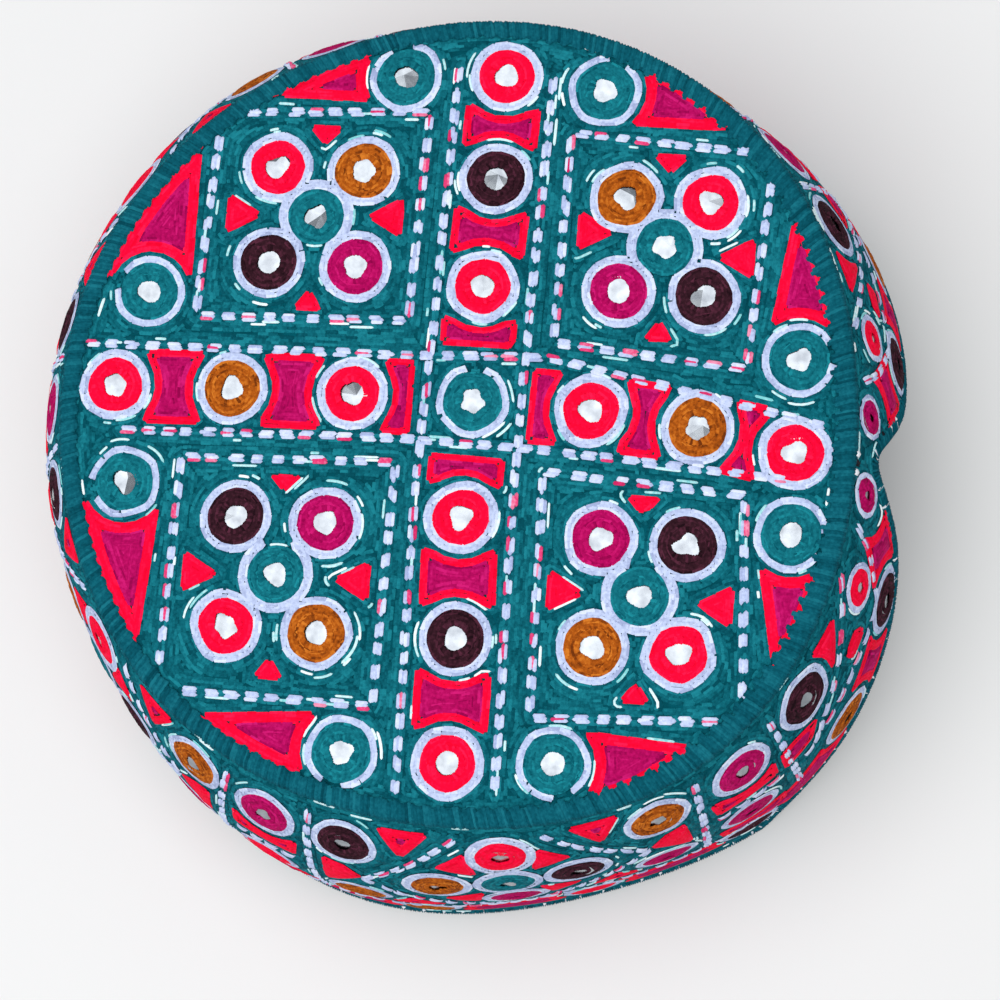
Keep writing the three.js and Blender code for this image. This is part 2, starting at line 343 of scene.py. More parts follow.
mirror_glass = mirror_material("mirror glass", (0.24, 0.26, 0.29), (0.4, 0.43, 0.46))
crown_mirror_nodes = [f"crown_mirror_{number:02d}" for number in range(1, mirror_count + 1)]
mirror_boxes = [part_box(node) for node in crown_mirror_nodes]
crown_mirror_at = np.array([[(low.x + high.x) / 2, (low.y + high.y) / 2] for low, high in mirror_boxes]) / mm
crown_mirror_at -= cap_shift[:2]
crown_mirror_places, crown_mirror_outs = crown_place(crown_mirror_at[:, 0], crown_mirror_at[:, 1])
crown_mirrors = add_mirrors("crown_mirrors", crown_mirror_places, crown_mirror_outs, mirror_radius)
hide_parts(*crown_mirror_nodes)

# Crown embroidery
# The whole crown is worked by hand in cotton thread: rings round the mirrors, filled patches and
# triangles, rows of teal stitches that follow them, and dashed lines in thick pale thread.

# Cells of the flat map, and the steps that a row of stitches is traced in, each way from its start
map_cell = 0.3
trace_step = 0.4
trace_reach = 60
# Radius of a medallion's hole, of its coloured ring, which is wider beside the seam, and of the
# pale ring round it, and how near a filled patch comes to its middle
hole_radius = 3.3
ring_radius, edge_ring_radius = 5.6, 5.8
lilac_radius = 7.15
clear_radius = 8.4
# The stitches of the seam reach this far in from the crown's edge
seam_inner = 2.3
patch_border = 2.1

GROUND, RED, MAGENTA, ORANGE, MAROON, TEAL, LILAC = range(7)
NOTHING = -1
thread_names = {GROUND: "ground", RED: "red", MAGENTA: "magenta", ORANGE: "orange", MAROON: "maroon",
                TEAL: "teal", LILAC: "lilac"}
# Dark, middle and light shade of each thread
thread_colours = {GROUND: ((0.0, 0.065, 0.09), (0.003, 0.125, 0.163), (0.01, 0.21, 0.26)),
                  RED: ((0.8, 0.0, 0.025), (0.96, 0.001, 0.038), (1.0, 0.01, 0.07)),
                  MAGENTA: ((0.27, 0.0, 0.06), (0.44, 0.002, 0.1), (0.6, 0.01, 0.16)),
                  ORANGE: ((0.15, 0.03, 0.003), (0.41, 0.09, 0.006), (0.64, 0.19, 0.02)),
                  MAROON: ((0.012, 0.003, 0.006), (0.035, 0.009, 0.016), (0.09, 0.02, 0.04)),
                  TEAL: ((0.0, 0.08, 0.11), (0.005, 0.15, 0.19), (0.01, 0.24, 0.29)),
                  LILAC: ((0.34, 0.4, 0.62), (0.52, 0.6, 0.83), (0.7, 0.77, 0.93))}
# How far the flecks along a thread shift its shade
fleck_strength = 1.3


def thread_material(name, colours):
    """Cotton thread whose shade differs from stitch to stitch and in flecks, with a fuzzy bump"""
    material = plain_material(name, colours[1], 0.85)
    nodes, links = material.node_tree.nodes, material.node_tree.links
    shader = nodes["Principled BSDF"]
    shader.inputs["Specular IOR Level"].default_value = 0.06
    shade = nodes.new("ShaderNodeAttribute")
    shade.attribute_name = "shade"
    ramp = nodes.new("ShaderNodeValToRGB")
    ramp.color_ramp.elements[0].color = (*colours[0], 1)
    ramp.color_ramp.elements[1].color = (*colours[2], 1)
    ramp.color_ramp.elements.new(0.5).color = (*colours[1], 1)
    place = nodes.new("ShaderNodeTexCoord")
    flecks = nodes.new("ShaderNodeTexNoise")
    flecks.inputs["Scale"].default_value = 1600
    flecks.inputs["Detail"].default_value = 4
    fleck_shade = nodes.new("ShaderNodeMath")
    fleck_shade.operation = "MULTIPLY_ADD"
    fleck_shade.inputs[1].default_value = fleck_strength
    lighter = nodes.new("ShaderNodeMath")
    lighter.inputs[1].default_value = -fleck_strength / 2
    links.new(place.outputs["Object"], flecks.inputs["Vector"])
    links.new(flecks.outputs["Fac"], fleck_shade.inputs[0])
    links.new(shade.outputs["Fac"], lighter.inputs[0])
    links.new(lighter.outputs["Value"], fleck_shade.inputs[2])
    links.new(fleck_shade.outputs["Value"], ramp.inputs["Fac"])
    links.new(ramp.outputs["Color"], shader.inputs["Base Color"])
    fuzz = nodes.new("ShaderNodeTexNoise")
    fuzz.inputs["Scale"].default_value = 4000
    fuzz.inputs["Detail"].default_value = 3
    links.new(place.outputs["Object"], fuzz.inputs["Vector"])
    add_bump(material, fuzz.outputs["Fac"], strength=0.4, distance=0.08)
    return material


thread_cotton = {label: thread_material(f"{thread_names[label]} cotton", colours)
                 for label, colours in thread_colours.items()}


def stitch_faces(stations):
    """Faces of one stitch with that many stations, and their places in a unit cell. The points
    are the first tip, left, top and right of each station between, and the last tip."""
    inner = stations - 2
    last = 1 + 3 * inner
    corners, places = [], []

    def put(*marks):
        for station, lane, v in marks:
            if station < 0:
                corners.append(0)
                places.append((0.03, v))
            elif station == inner:
                corners.append(last)
                places.append((0.97, v))
            else:
                corners.append(1 + 3 * station + lane)
                places.append((0.12 + 0.76 * station / max(inner - 1, 1), v))

    left, top, right = (0, 0.06), (1, 0.5), (2, 0.94)
    for one, two in ((left, top), (top, right)):
        middle = (one[1] + two[1]) / 2
        put((-1, 0, middle), (0, *two), (0, *one))
        for j in range(inner - 1):
            put((j, *one), (j, *two), (j + 1, *two))
            put((j, *one), (j + 1, *two), (j + 1, *one))
        put((inner, 0, middle), (inner - 1, *one), (inner - 1, *two))
    return np.array(corners).reshape(-1, 3), np.array(places)


# How deep the two tips of a stitch go
tip_sink = 0.12


def add_stitches(name, lines, outs, widths, heights, lifts, material, shades):
    """One mesh of stitches. Each follows its centre line, is rounded on top and open against
    the cloth, and its two tips go down into the cloth."""
    count, stations, _ = lines.shape
    along = np.gradient(lines, axis=1)
    along /= np.linalg.norm(along, axis=-1, keepdims=True) + 1e-9
    across = np.cross(outs, along)
    centre = lines + outs * lifts[..., None]
    half = across * widths[..., None] / 2
    peak = centre + outs * heights[..., None]
    inside = np.stack([centre + half, peak, centre - half], 2)[:, 1:-1].reshape(count, -1, 3)
    tips = centre - tip_sink * outs
    points = np.concatenate([tips[:, :1], inside, tips[:, -1:]], 1)
    corners, inner = stitch_faces(stations)
    faces = corners[None] + (np.arange(count) * points.shape[1])[:, None, None]
    shade = np.repeat(np.clip(shades, 0, 1), points.shape[1])
    return add_piece(name, points.reshape(-1, 3), faces.reshape(-1, 3), material,
                     cell_uv(count, inner), shade)


def disc(radius, x=0.0, y=0.0):
    return lambda across, down: np.hypot(across - x, down - y) - radius


def uneven_disc(radius, waves, x=0.0, y=0.0):
    """A disc with a hand-made outline. waves has a share of the radius and a turn for each of
    the counts 2, 3 and 5."""

    def distance(across, down):
        angle = np.arctan2(down - y, across - x)
        wave = sum(share * np.cos(n * angle + turn) for n, (share, turn) in zip((2, 3, 5), waves))
        return np.hypot(across - x, down - y) - radius * (1 + wave)

    return distance


# Share of its radius by which a hand-made round is out of true
uneven_share = 0.013


def hand_waves():
    return [(dice.normal(0, uneven_share), dice.uniform(0, 2 * np.pi)) for _ in range(3)]


def polygon(corners):
    """Signed distance to a polygon, negative inside it"""

    def distance(x, y):
        nearest = np.full(np.broadcast(x, y).shape, np.inf)
        inside = np.zeros(nearest.shape, bool)
        for (x0, y0), (x1, y1) in zip(corners, corners[1:] + corners[:1]):
            dx, dy = x1 - x0, y1 - y0
            share = np.clip(((x - x0) * dx + (y - y0) * dy) / (dx * dx + dy * dy), 0, 1)
            nearest = np.minimum(nearest, np.hypot(x - x0 - share * dx, y - y0 - share * dy))
            spans = (y0 <= y) != (y1 <= y)
            inside ^= spans & (x < x0 + (y - y0) * dx / (dy if dy else 1e-9))
        return np.where(inside, -nearest, nearest)

    return distance


def without(shape, holes):
    """A shape with other shapes cut out of it"""

    def distance(x, y):
        cut = shape(x, y)
        for hole in holes:
            cut = np.maximum(cut, -hole(x, y))
        return cut

    return distance


def joined(shapes):
    def distance(x, y):
        return np.minimum.reduce([shape(x, y) for shape in shapes])

    return distance


def grown(shape, by):
    return lambda x, y: shape(x, y) - by


class Chart:
    """A flat map of a stretch of cloth in small cells: the thread that each is worked in, and
    how far it is from the nearest edge. across is measured at the map's gauge, down is true."""

    def __init__(self, place, squeeze, across_span, down_span, wraps):
        self.place, self.squeeze, self.wraps = place, squeeze, wraps
        count = int(round((across_span[1] - across_span[0]) / map_cell))
        self.cell_across = (across_span[1] - across_span[0]) / count
        self.across0, self.down0 = across_span[0], down_span[0]
        self.across = self.across0 + (np.arange(count) + 0.5) * self.cell_across
        self.down = np.arange(down_span[0] + map_cell / 2, down_span[1], map_cell)
        self.label = np.full((len(self.across), len(self.down)), GROUND)
        self.depth = np.full(self.label.shape, 30.0)

    def mark(self, label, at, reach, shape):
        """Gives a shape round a place to a thread, where no earlier shape has it"""
        squeeze = self.squeeze(self.down)
        columns = int((reach / squeeze.min()) / self.cell_across) + 1
        middle = int((at[0] - self.across0) / self.cell_across)
        pick = np.arange(middle - columns, middle + columns + 1)
        offset = self.across0 + (pick + 0.5) * self.cell_across - at[0]
        if self.wraps:
            pick = pick % len(self.across)
        else:
            keep = (pick >= 0) & (pick < len(self.across))
            pick, offset = pick[keep], offset[keep]
        rows = np.nonzero(np.abs(self.down - at[1]) <= reach)[0]
        x = offset[:, None] * squeeze[None, rows]
        y = np.broadcast_to((self.down[rows] - at[1])[None], x.shape)
        gap = shape(x, y)
        window = np.ix_(pick, rows)
        free = self.label[window] == GROUND
        self.depth[window] = np.where(free, np.minimum(self.depth[window], np.abs(gap)), self.depth[window])
        if label != GROUND:
            self.label[window] = np.where(free & (gap < 0), label, self.label[window])

    def look(self, grid, across, down):
        """A map's values between cells"""
        i = (across - self.across0) / self.cell_across - 0.5
        j = np.clip((down - self.down0) / map_cell - 0.5, 0, grid.shape[1] - 1.001)
        if not self.wraps:
            i = np.clip(i, 0, grid.shape[0] - 1.001)
        i0, j0 = np.floor(i).astype(int), np.floor(j).astype(int)
        u, v = i - i0, j - j0
        a, b = i0 % grid.shape[0], (i0 + 1) % grid.shape[0]
        return ((grid[a, j0] * (1 - u) + grid[b, j0] * u) * (1 - v)
                + (grid[a, j0 + 1] * (1 - u) + grid[b, j0 + 1] * u) * v)

    def cell_of(self, across, down):
        i = np.floor((across - self.across0) / self.cell_across).astype(int)
        j = np.floor((down - self.down0) / map_cell).astype(int)
        off = (j < 0) | (j >= len(self.down))
        if self.wraps:
            i = i % len(self.across)
        else:
            off |= (i < 0) | (i >= len(self.across))
        return np.where(off, 0, i), np.where(off, 0, j), off

    def rows(self, label, step, seeds):
        """Lines that keep an even distance from the edges of what is worked in one thread, as
        lists of points across and down, each a trace_step from the next"""
        slope_across, slope_down = np.gradient(self.depth, self.cell_across, map_cell)
        slope_across = slope_across / self.squeeze(self.down)[None]
        cells = np.argwhere(self.label == label)
        cells = cells[dice.permutation(len(cells))[:seeds]]
        across = self.across[cells[:, 0]] + dice.uniform(-0.1, 0.1, len(cells))
        down = self.down[cells[:, 1]] + dice.uniform(-0.1, 0.1, len(cells))
        level = np.floor(self.look(self.depth, across, down) / step)
        goal = (level + 0.5) * step

        def settle(across, down):
            ga = self.look(slope_across, across, down)
            gb = self.look(slope_down, across, down)
            size = np.sqrt(ga * ga + gb * gb) + 1e-6
            miss = np.clip((self.look(self.depth, across, down) - goal) / np.maximum(size, 0.5), -0.3, 0.3)
            step_across = miss * ga / size / self.squeeze(down)
            step_down = miss * gb / size
            return across - step_across, down - step_down, ga / size, gb / size

        for _ in range(3):
            across, down, ga, gb = settle(across, down)
        sides = []
        for sign in (-1, 1):
            a, b, pa, pb = across.copy(), down.copy(), -gb * sign, ga * sign
            alive = np.ones(len(a), bool)
            trail = []
            for _ in range(trace_reach):
                a, b, na, nb = settle(a + pa * trace_step / self.squeeze(b), b + pb * trace_step)
                ta, tb = -nb * sign, na * sign
                alive = alive & (ta * pa + tb * pb > 0.75)
                i, j, off = self.cell_of(a, b)
                alive = alive & ~off & (self.label[i, j] == label)
                alive = alive & (np.abs(self.look(self.depth, a, b) - goal) < 0.3 * step)
                pa, pb = ta, tb
                trail.append((a, b, alive.copy()))
            sides.append([np.stack(part, 1) for part in zip(*trail)])
        taken = np.full(self.label.shape, -1)
        lines = []
        i0, j0, off0 = self.cell_of(across, down)
        for n in range(len(across)):
            if off0[n] or taken[i0[n], j0[n]] == level[n] or self.label[i0[n], j0[n]] != label:
                continue
            ends = []
            for a, b, alive in sides:
                i, j, _ = self.cell_of(a[n], b[n])
                blocked = ~alive[n] | (taken[i, j] == level[n])
                ends.append(int(np.argmax(blocked)) if blocked.any() else trace_reach)
            total = ends[0] + ends[1] + 1
            if total * trace_step < 0.9:
                continue
            line_a = np.concatenate([sides[0][0][n, :ends[0]][::-1], [across[n]], sides[1][0][n, :ends[1]]])
            line_b = np.concatenate([sides[0][1][n, :ends[0]][::-1], [down[n]], sides[1][1][n, :ends[1]]])
            fine = np.arange(0, total - 0.99, 0.33)
            i, j, _ = self.cell_of(np.interp(fine, np.arange(total), line_a),
                                   np.interp(fine, np.arange(total), line_b))
            taken[i, j] = level[n]
            lines.append((line_a, line_b, level[n]))
        return lines


def cut_stitches(lines, length, spread, gap, shares):
    """Stations across and down for stitches of about one length, cut from lines one after another.
    Stitches overlap where the gap is below zero."""
    across, down = [], []
    for line_a, line_b, _ in lines:
        total = (len(line_a) - 1) * trace_step
        count = max(1, int(round(total / (length * dice.uniform(0.9, 1.1)))))
        cuts = np.linspace(0, total, count + 1)
        cuts[1:-1] += dice.uniform(-spread, spread, count - 1) * total / count
        marks = cuts[:-1, None] + gap / 2 + (np.diff(cuts) - gap)[:, None] * np.array(shares)[None]
        index = np.arange(len(line_a)) * trace_step
        across.append(np.interp(marks, index, line_a))
        down.append(np.interp(marks, index, line_b))
    return np.concatenate(across), np.concatenate(down)


# A padded shape reaches its full height at this distance from its edge
dome_edge = 1.3


def add_rows(name, chart, across, down, material, width, height, lift, dome=0.0):
    """Stitches along rows of a chart, laid higher toward the middle of a padded shape"""
    count, stations = across.shape
    across = across + dice.normal(0, 0.03, (count, 1))
    down = down + dice.normal(0, 0.03, (count, 1))
    lines, outs = chart.place(across, down)
    depth = chart.look(chart.depth, across, down)
    raised = lift + dome * np.clip(depth / dome_edge, 0, 1)
    swell = np.sin(np.linspace(0.2, np.pi - 0.2, stations))[None]
    widths = width * dice.uniform(0.92, 1.12, (count, 1)) * (0.85 + 0.15 * swell)
    heights = height * dice.uniform(0.8, 1.25, (count, 1)) * (0.75 + 0.25 * swell)
    shades = np.clip(dice.normal(0.5, 0.27, count), 0, 1)
    add_stitches(name, lines, outs, widths, heights, raised, material, shades)


pale_thread = ((0.36, 0.43, 0.68), (0.55, 0.63, 0.87), (0.74, 0.8, 0.96))
pink_thread = ((0.6, 0.02, 0.12), (0.8, 0.06, 0.2), (0.85, 0.3, 0.45))
dash_cotton = thread_material("dash cotton", pale_thread)
pink_cotton = thread_material("pink cotton", pink_thread)
dash_pitch, dash_length = 4.2, 3.0
dash_strands, dash_thread = 3, 0.8
# Step between the strands of a dash, as a share of the thread's width
strand_step = 0.58
pink_share = 0.12
dash_lifts = (0.15, 0.4, 0.48, 0.4, 0.15)


def add_dashes(name, chart, segments):
    """Dashed lines: each dash is a few strands side by side, laid over the ground stitches. Some
    strands are of pink thread."""
    across, down = [], []
    for (a0, b0), (a1, b1) in segments:
        squeeze = chart.squeeze(np.array((b0 + b1) / 2))
        run = np.hypot((a1 - a0) * squeeze, b1 - b0)
        count = max(1, int(round(run / dash_pitch)))
        middle = (np.arange(count) + 0.5 + dice.uniform(-0.1, 0.1, count)) / count
        half = dash_length / 2 / run * dice.uniform(0.85, 1.15, count)
        side_a, side_b = -(b1 - b0) / run / squeeze, (a1 - a0) * squeeze / run
        for strand in range(dash_strands):
            offset = (strand - (dash_strands - 1) / 2) * dash_thread * strand_step
            offset = offset + dice.normal(0, 0.07, (count, 1))
            shares = middle[:, None] + half[:, None] * np.array([-1, -0.7, 0, 0.7, 1])[None]
            shares = shares + dice.normal(0, 0.25, (count, 1)) / run
            across.append(a0 + (a1 - a0) * shares + side_a * offset)
            down.append(b0 + (b1 - b0) * shares + side_b * offset)
    across, down = np.concatenate(across), np.concatenate(down)
    i, j, off = chart.cell_of(across, down)
    shown = ~(off | (chart.label[i, j] == NOTHING)).any(1)
    across, down = across[shown], down[shown]
    pink = dice.uniform(size=len(across)) < pink_share
    for part, cotton, chosen in ((name, dash_cotton, ~pink), (f"{name}_pink", pink_cotton, pink)):
        lines, outs = chart.place(across[chosen], down[chosen])
        count = len(lines)
        widths = np.full((count, 5), dash_thread) * dice.uniform(0.85, 1.15, (count, 1))
        heights = np.full((count, 5), 0.26) * dice.uniform(0.85, 1.15, (count, 1))
        lifts = np.broadcast_to(dash_lifts, (count, 5)) + dice.uniform(-0.05, 0.08, (count, 1))
        add_stitches(part, lines, outs, widths, heights, lifts, cotton,
                     dice.normal(0.5, 0.2, count))


hem_stitches = 34
# Out from the hole: share of the way, width and lift of a hem stitch
hem_shares = np.array([0, 0.1, 0.7, 1])
hem_widths = (0.4, 0.62, 0.84, 0.84)
hem_lifts = (0.58, 0.68, 0.68, 0.55)


def add_hem(name, chart, centres, radii, material):
    """A raised ring of short stitches from the edge of each mirror outward, round an uneven hole"""
    count = len(centres)
    turn = np.linspace(0, 2 * np.pi, hem_stitches, endpoint=False)[None]
    turn = turn + dice.uniform(-0.03, 0.03, (count, hem_stitches))
    wobble = sum(dice.normal(0, size, (count, 1)) * np.cos(n * turn + dice.uniform(0, 6, (count, 1)))
                 for n, size in ((2, 0.06), (3, 0.05), (5, 0.03)))
    inner = radii[:, None] * (0.68 + wobble) + dice.normal(0, 0.04, turn.shape)
    reach = inner[..., None] + (radii[:, None, None] + 0.45 - inner[..., None]) * hem_shares
    lean = turn[..., None] + 0.12 * hem_shares
    squeeze = chart.squeeze(centres[:, 1])[:, None, None]
    across = (centres[:, 0, None, None] + reach * np.cos(lean) / squeeze).reshape(-1, 4)
    down = (centres[:, 1, None, None] + reach * np.sin(lean)).reshape(-1, 4)
    lines, outs = chart.place(across, down)
    count = len(lines)
    widths = np.broadcast_to(hem_widths, (count, 4)) * dice.uniform(0.9, 1.15, (count, 1))
    heights = np.full((count, 4), 0.16) * dice.uniform(0.85, 1.2, (count, 1))
    lifts = np.broadcast_to(hem_lifts, (count, 4))
    add_stitches(name, lines, outs, widths, heights, lifts, material,
                 dice.normal(0.5, 0.2, count))


def add_hems(prefix, chart, centres, radii, threads):
    """The hems of all medallions, one mesh for each thread"""
    for label in (RED, ORANGE, MAROON, TEAL, MAGENTA):
        chosen = np.array([thread == label for thread in threads])
        add_hem(f"{prefix}_hem_{thread_names[label]}", chart, centres[chosen], radii[chosen],
                thread_cotton[label])


# A patch starts this far from the middle of its medallion, and the map of a shape reaches this far
# round it
patch_start = 6.2
shape_margin = 12


def patch(start, end, half_width, squeeze=1.0, inner_end=None):
    """A filled patch between two medallions, or beside the first of them up to an inner end: its
    place, reach and shape. Its ends are hollow where they follow the medallions' edges."""
    middle = (np.array(start) + np.array(end)) / 2
    run = (np.array(end) - np.array(start)) * np.array([squeeze, 1.0])
    length = np.hypot(*run)
    along, across = run / length, np.array([-run[1], run[0]]) / length
    first, last = -length / 2 + patch_start, length / 2 - patch_start
    holes = [disc(clear_radius, *(along * -length / 2)), disc(clear_radius, *(along * length / 2))]
    if inner_end is not None:
        last = -length / 2 + inner_end
        holes.pop()
    corners = [tuple(along * t + across * w) for t, w in
               ((first, -half_width), (last, -half_width), (last, half_width), (first, half_width))]
    return middle, length / 2 + half_width + shape_margin, without(polygon(corners), holes)


def crown_distance(across, down):
    angle = np.arctan2(across, -down)
    return crown_outline(angle) - np.hypot(across, down)


chart_half = 84.0
crown_span = (-chart_half, chart_half)
crown_chart = Chart(crown_place, lambda down: np.ones_like(down), crown_span, crown_span, False)
grid_across, grid_down = np.meshgrid(crown_chart.across, crown_chart.down, indexing="ij")
from_seam = crown_distance(grid_across, grid_down) - seam_inner
crown_chart.depth = np.abs(from_seam)
# The ground runs on this far under the seam and under the edging of the rim
ground_tuck = 0.9
crown_chart.label[from_seam < -ground_tuck] = NOTHING

# Thread round each crown mirror, by its number
ring_threads = [TEAL, RED, ORANGE, RED, RED, ORANGE, RED, RED, MAROON, RED, RED, MAROON, RED,
                TEAL, TEAL, TEAL, TEAL, TEAL, TEAL, TEAL, TEAL,
                TEAL, RED, ORANGE, MAROON, MAGENTA, TEAL, ORANGE, RED, MAGENTA, MAROON,
                TEAL, MAROON, MAGENTA, RED, ORANGE, TEAL, MAGENTA, MAROON, ORANGE, RED]
edge_numbers = range(13, 21)
quarter_starts = (21, 26, 31, 36)
# Way that the pale ring of each quarter's middle medallion is open, across and down
quarter_openings = ((-1, 0), (-1, 0), (1, 0), (1, 0))

# How far round its middle a ring, its pale ring and a group of five are mapped
ring_map, lilac_map, group_map = 9, 19, 34
crown_waves = [hand_waves() for _ in crown_mirror_at]
for index, centre in enumerate(crown_mirror_at):
    outer = edge_ring_radius if index in edge_numbers or index == 0 else ring_radius
    crown_chart.mark(NOTHING, centre, hole_radius + 1, disc(hole_radius))
    crown_chart.mark(ring_threads[index], centre, ring_map, uneven_disc(outer, crown_waves[index]))


def gap_wedge(direction, half_gap, start=0.0):
    """The strip that leaves a ring open, from its middle outward"""
    ux, uy = np.array(direction) / np.hypot(*direction)

    def distance(x, y):
        return np.maximum(np.abs(x * uy - y * ux) - half_gap, start - (x * ux + y * uy))

    return distance


# Half of the opening in the pale ring of a quarter's middle, of the crown's middle and beside the seam
quarter_opening, middle_opening, edge_opening = 2.6, 1.3, 1.5
# Where a quarter's opening starts, and how much wider its middle ring is
opening_start, quarter_extra = 3.0, 0.35
for start, opening in zip(quarter_starts, quarter_openings):
    group = crown_mirror_at[start:start + 5] - crown_mirror_at[start]
    discs = [uneven_disc(lilac_radius if n else lilac_radius + quarter_extra, crown_waves[start + n], *at)
             for n, at in enumerate(group)]
    union = without(joined(discs), [gap_wedge(opening, quarter_opening, opening_start)])
    crown_chart.mark(LILAC, crown_mirror_at[start], group_map, joined([union] + discs[1:]))
for index in range(quarter_starts[0]):
    centre = crown_mirror_at[index]
    ring = uneven_disc(lilac_radius, crown_waves[index])
    if index == 0:
        ring = without(ring, [gap_wedge((1, 0), middle_opening)])
    if index in edge_numbers:
        ring = without(ring, [gap_wedge(centre, edge_opening)])
    crown_chart.mark(LILAC, centre, lilac_map, ring)

# Arms of the cross: numbers of the medallions from the middle outward
cross_arms = ((7, 8, 9), (10, 11, 12), (1, 2, 3), (4, 5, 6))
arm_half_width = 7.4
inner_patch_end = 12.0
# Width of the red round the magenta, in an arm's patches and in its narrow inner one
arm_border, inner_border = 1.45, 1.15
for arm in cross_arms:
    stops = [crown_mirror_at[number] for number in arm]
    for start, end in zip(stops, stops[1:]):
        at, reach, shape = patch(start, end, arm_half_width)
        crown_chart.mark(MAGENTA, at, reach, grown(shape, -arm_border))
        crown_chart.mark(RED, at, reach, shape)
    at, reach, shape = patch(stops[0], crown_mirror_at[0], arm_half_width, inner_end=inner_patch_end)
    crown_chart.mark(MAGENTA, at, reach, grown(shape, -inner_border))
    crown_chart.mark(RED, at, reach, shape)


def mark_polygon(chart, threads, corners, holes=(), border=patch_border, core_limit=None):
    """A filled polygon in one thread, or in two with a core, which may stop at a limit"""
    squeeze = float(chart.squeeze(np.mean([c[1] for c in corners])))
    at = np.mean(corners, axis=0)
    local = [((a - at[0]) * squeeze, b - at[1]) for a, b in corners]
    cuts = [disc(clear_radius, (a - at[0]) * squeeze, b - at[1]) for a, b in holes]
    shape = without(polygon(local), cuts)
    reach = max(np.hypot(a, b) for a, b in local) + shape_margin
    if len(threads) == 2:
        core = grown(shape, -border)
        if core_limit is not None:
            core = without(core, [lambda x, y: core_limit(x + at[0], y + at[1])])
        chart.mark(threads[1], at, reach, core)
    chart.mark(threads[0], at, reach, shape)


# The magenta core of a big triangle keeps this far from the seam, and less at the front
core_gap, front_core_gap = 2.2, 0.9
front_from = -25


def near_seam(x, y):
    """Negative where a core would come too near to the seam"""
    return crown_distance(x, y) - seam_inner - np.where(y > front_from, core_gap, front_core_gap)


# Big triangles beside the edge medallions, as three corners each
edge_triangles = [[(63.0, 46.7), (76.2, 22.8), (62.7, 20.9)],
                  [(54.2, 56.5), (23.8, 77.7), (24.8, 56.0)],
                  [(60.5, -52.1), (74.6, -31.5), (60.6, -28.2)],
                  [(48.4, -63.6), (17.5, -77.7), (15.5, -59.2)],
                  [(-52.6, 60.1), (-21.8, 78.6), (-19.3, 57.8)],
                  [(-61.7, 48.2), (-75.7, 25.2), (-59.4, 22.7)],
                  [(-48.4, -65.9), (-24.0, -78.2), (-19.8, -60.2)],
                  [(-60.0, -52.9), (-74.3, -32.6), (-58.9, -29.4)]]
edge_border = 2.0
edge_holes = [crown_mirror_at[number] for number in edge_numbers]
for corners in edge_triangles:
    mark_polygon(crown_chart, (RED, MAGENTA), corners, edge_holes, edge_border, near_seam)

# Small triangles of each quarter: centre and the way the tip points, across and down
small_triangles = [((55.2, 31.0), (-1, 0)), ((38.5, 46.2), (0, -1)),
                   ((39.3, 17.6), (0, 1)), ((21.9, 31.6), (1, 0)),
                   ((53.1, -38.2), (-1, 0)), ((38.8, -24.7), (0, -1)),
                   ((35.1, -52.2), (0, 1)), ((19.9, -38.4), (1, 0)),
                   ((-15.0, 32.8), (-1, 0)), ((-33.9, 48.2), (0, -1)),
                   ((-33.3, 17.9), (0, 1)), ((-51.5, 32.8), (1, 0)),
                   ((-14.8, -38.1), (-1, 0)), ((-32.3, -24.4), (0, -1)),
                   ((-32.9, -53.0), (0, 1)), ((-50.6, -39.3), (1, 0))]
# Half base and height of a small triangle by the way its tip points
small_sizes = {(-1, 0): (3.7, 3.9), (1, 0): (3.1, 4.3), (0, -1): (4.1, 7.3), (0, 1): (4.1, 7.3)}
for (x, y), (ux, uy) in small_triangles:
    half_base, height = small_sizes[ux, uy]
    tip = (x + ux * height / 2, y + uy * height / 2)
    foot_x, foot_y = x - ux * height / 2, y - uy * height / 2
    base = [(foot_x + k * uy * half_base, foot_y + k * ux * half_base) for k in (1, -1)]
    mark_polygon(crown_chart, (RED,), [tip, *base])

# Dashed lines of the crown, along and across the cross, as the points that each runs through
crown_dash_routes = [[(71.3, 5.3), (15.9, 5.9), (-12.7, 6.7), (-74.4, 5.8)],
                     [(69.9, -13.7), (18.3, -12.9), (-13.5, -12.7), (-72.8, -13.6)],
                     [(10.6, 77.5), (11.9, 8.8), (13.2, -16.5), (3.2, -72.0)],
                     [(-6.5, 67.9), (-4.7, 11.2), (-5.1, -16.1), (-7.7, -66.0)]]
# Corners of the dashed square round each quarter
quarter_frames = [((59.2, 52.8), (61.0, 10.3), (18.7, 11.0), (17.4, 54.4)),
                  ((58.3, -18.2), (56.1, -58.4), (13.3, -55.9), (16.1, -18.1)),
                  ((-11.2, 54.3), (-9.5, 11.1), (-57.4, 11.6), (-57.3, 55.0)),
                  ((-9.5, -18.2), (-11.3, -57.5), (-54.7, -60.1), (-57.2, -19.2))]
crown_segments = []
for route in crown_dash_routes:
    crown_segments += list(zip(route, route[1:]))
for corners in quarter_frames:
    crown_segments += list(zip(corners, corners[1:] + corners[:1]))


def mark_line(chart, start, end):
    """Lets the ground's rows follow a line"""
    middle = (np.array(start) + np.array(end)) / 2
    squeeze = float(chart.squeeze(middle[1]))
    local = [((a - middle[0]) * squeeze, b - middle[1]) for a, b in (start, end)]
    thin = polygon([local[0], local[1]])
    chart.mark(GROUND, middle, np.hypot(*local[0]) + 8, lambda x, y: np.abs(thin(x, y)))


for start, end in crown_segments:
    mark_line(crown_chart, start, end)

row_shares = (0, 0.12, 0.88, 1)
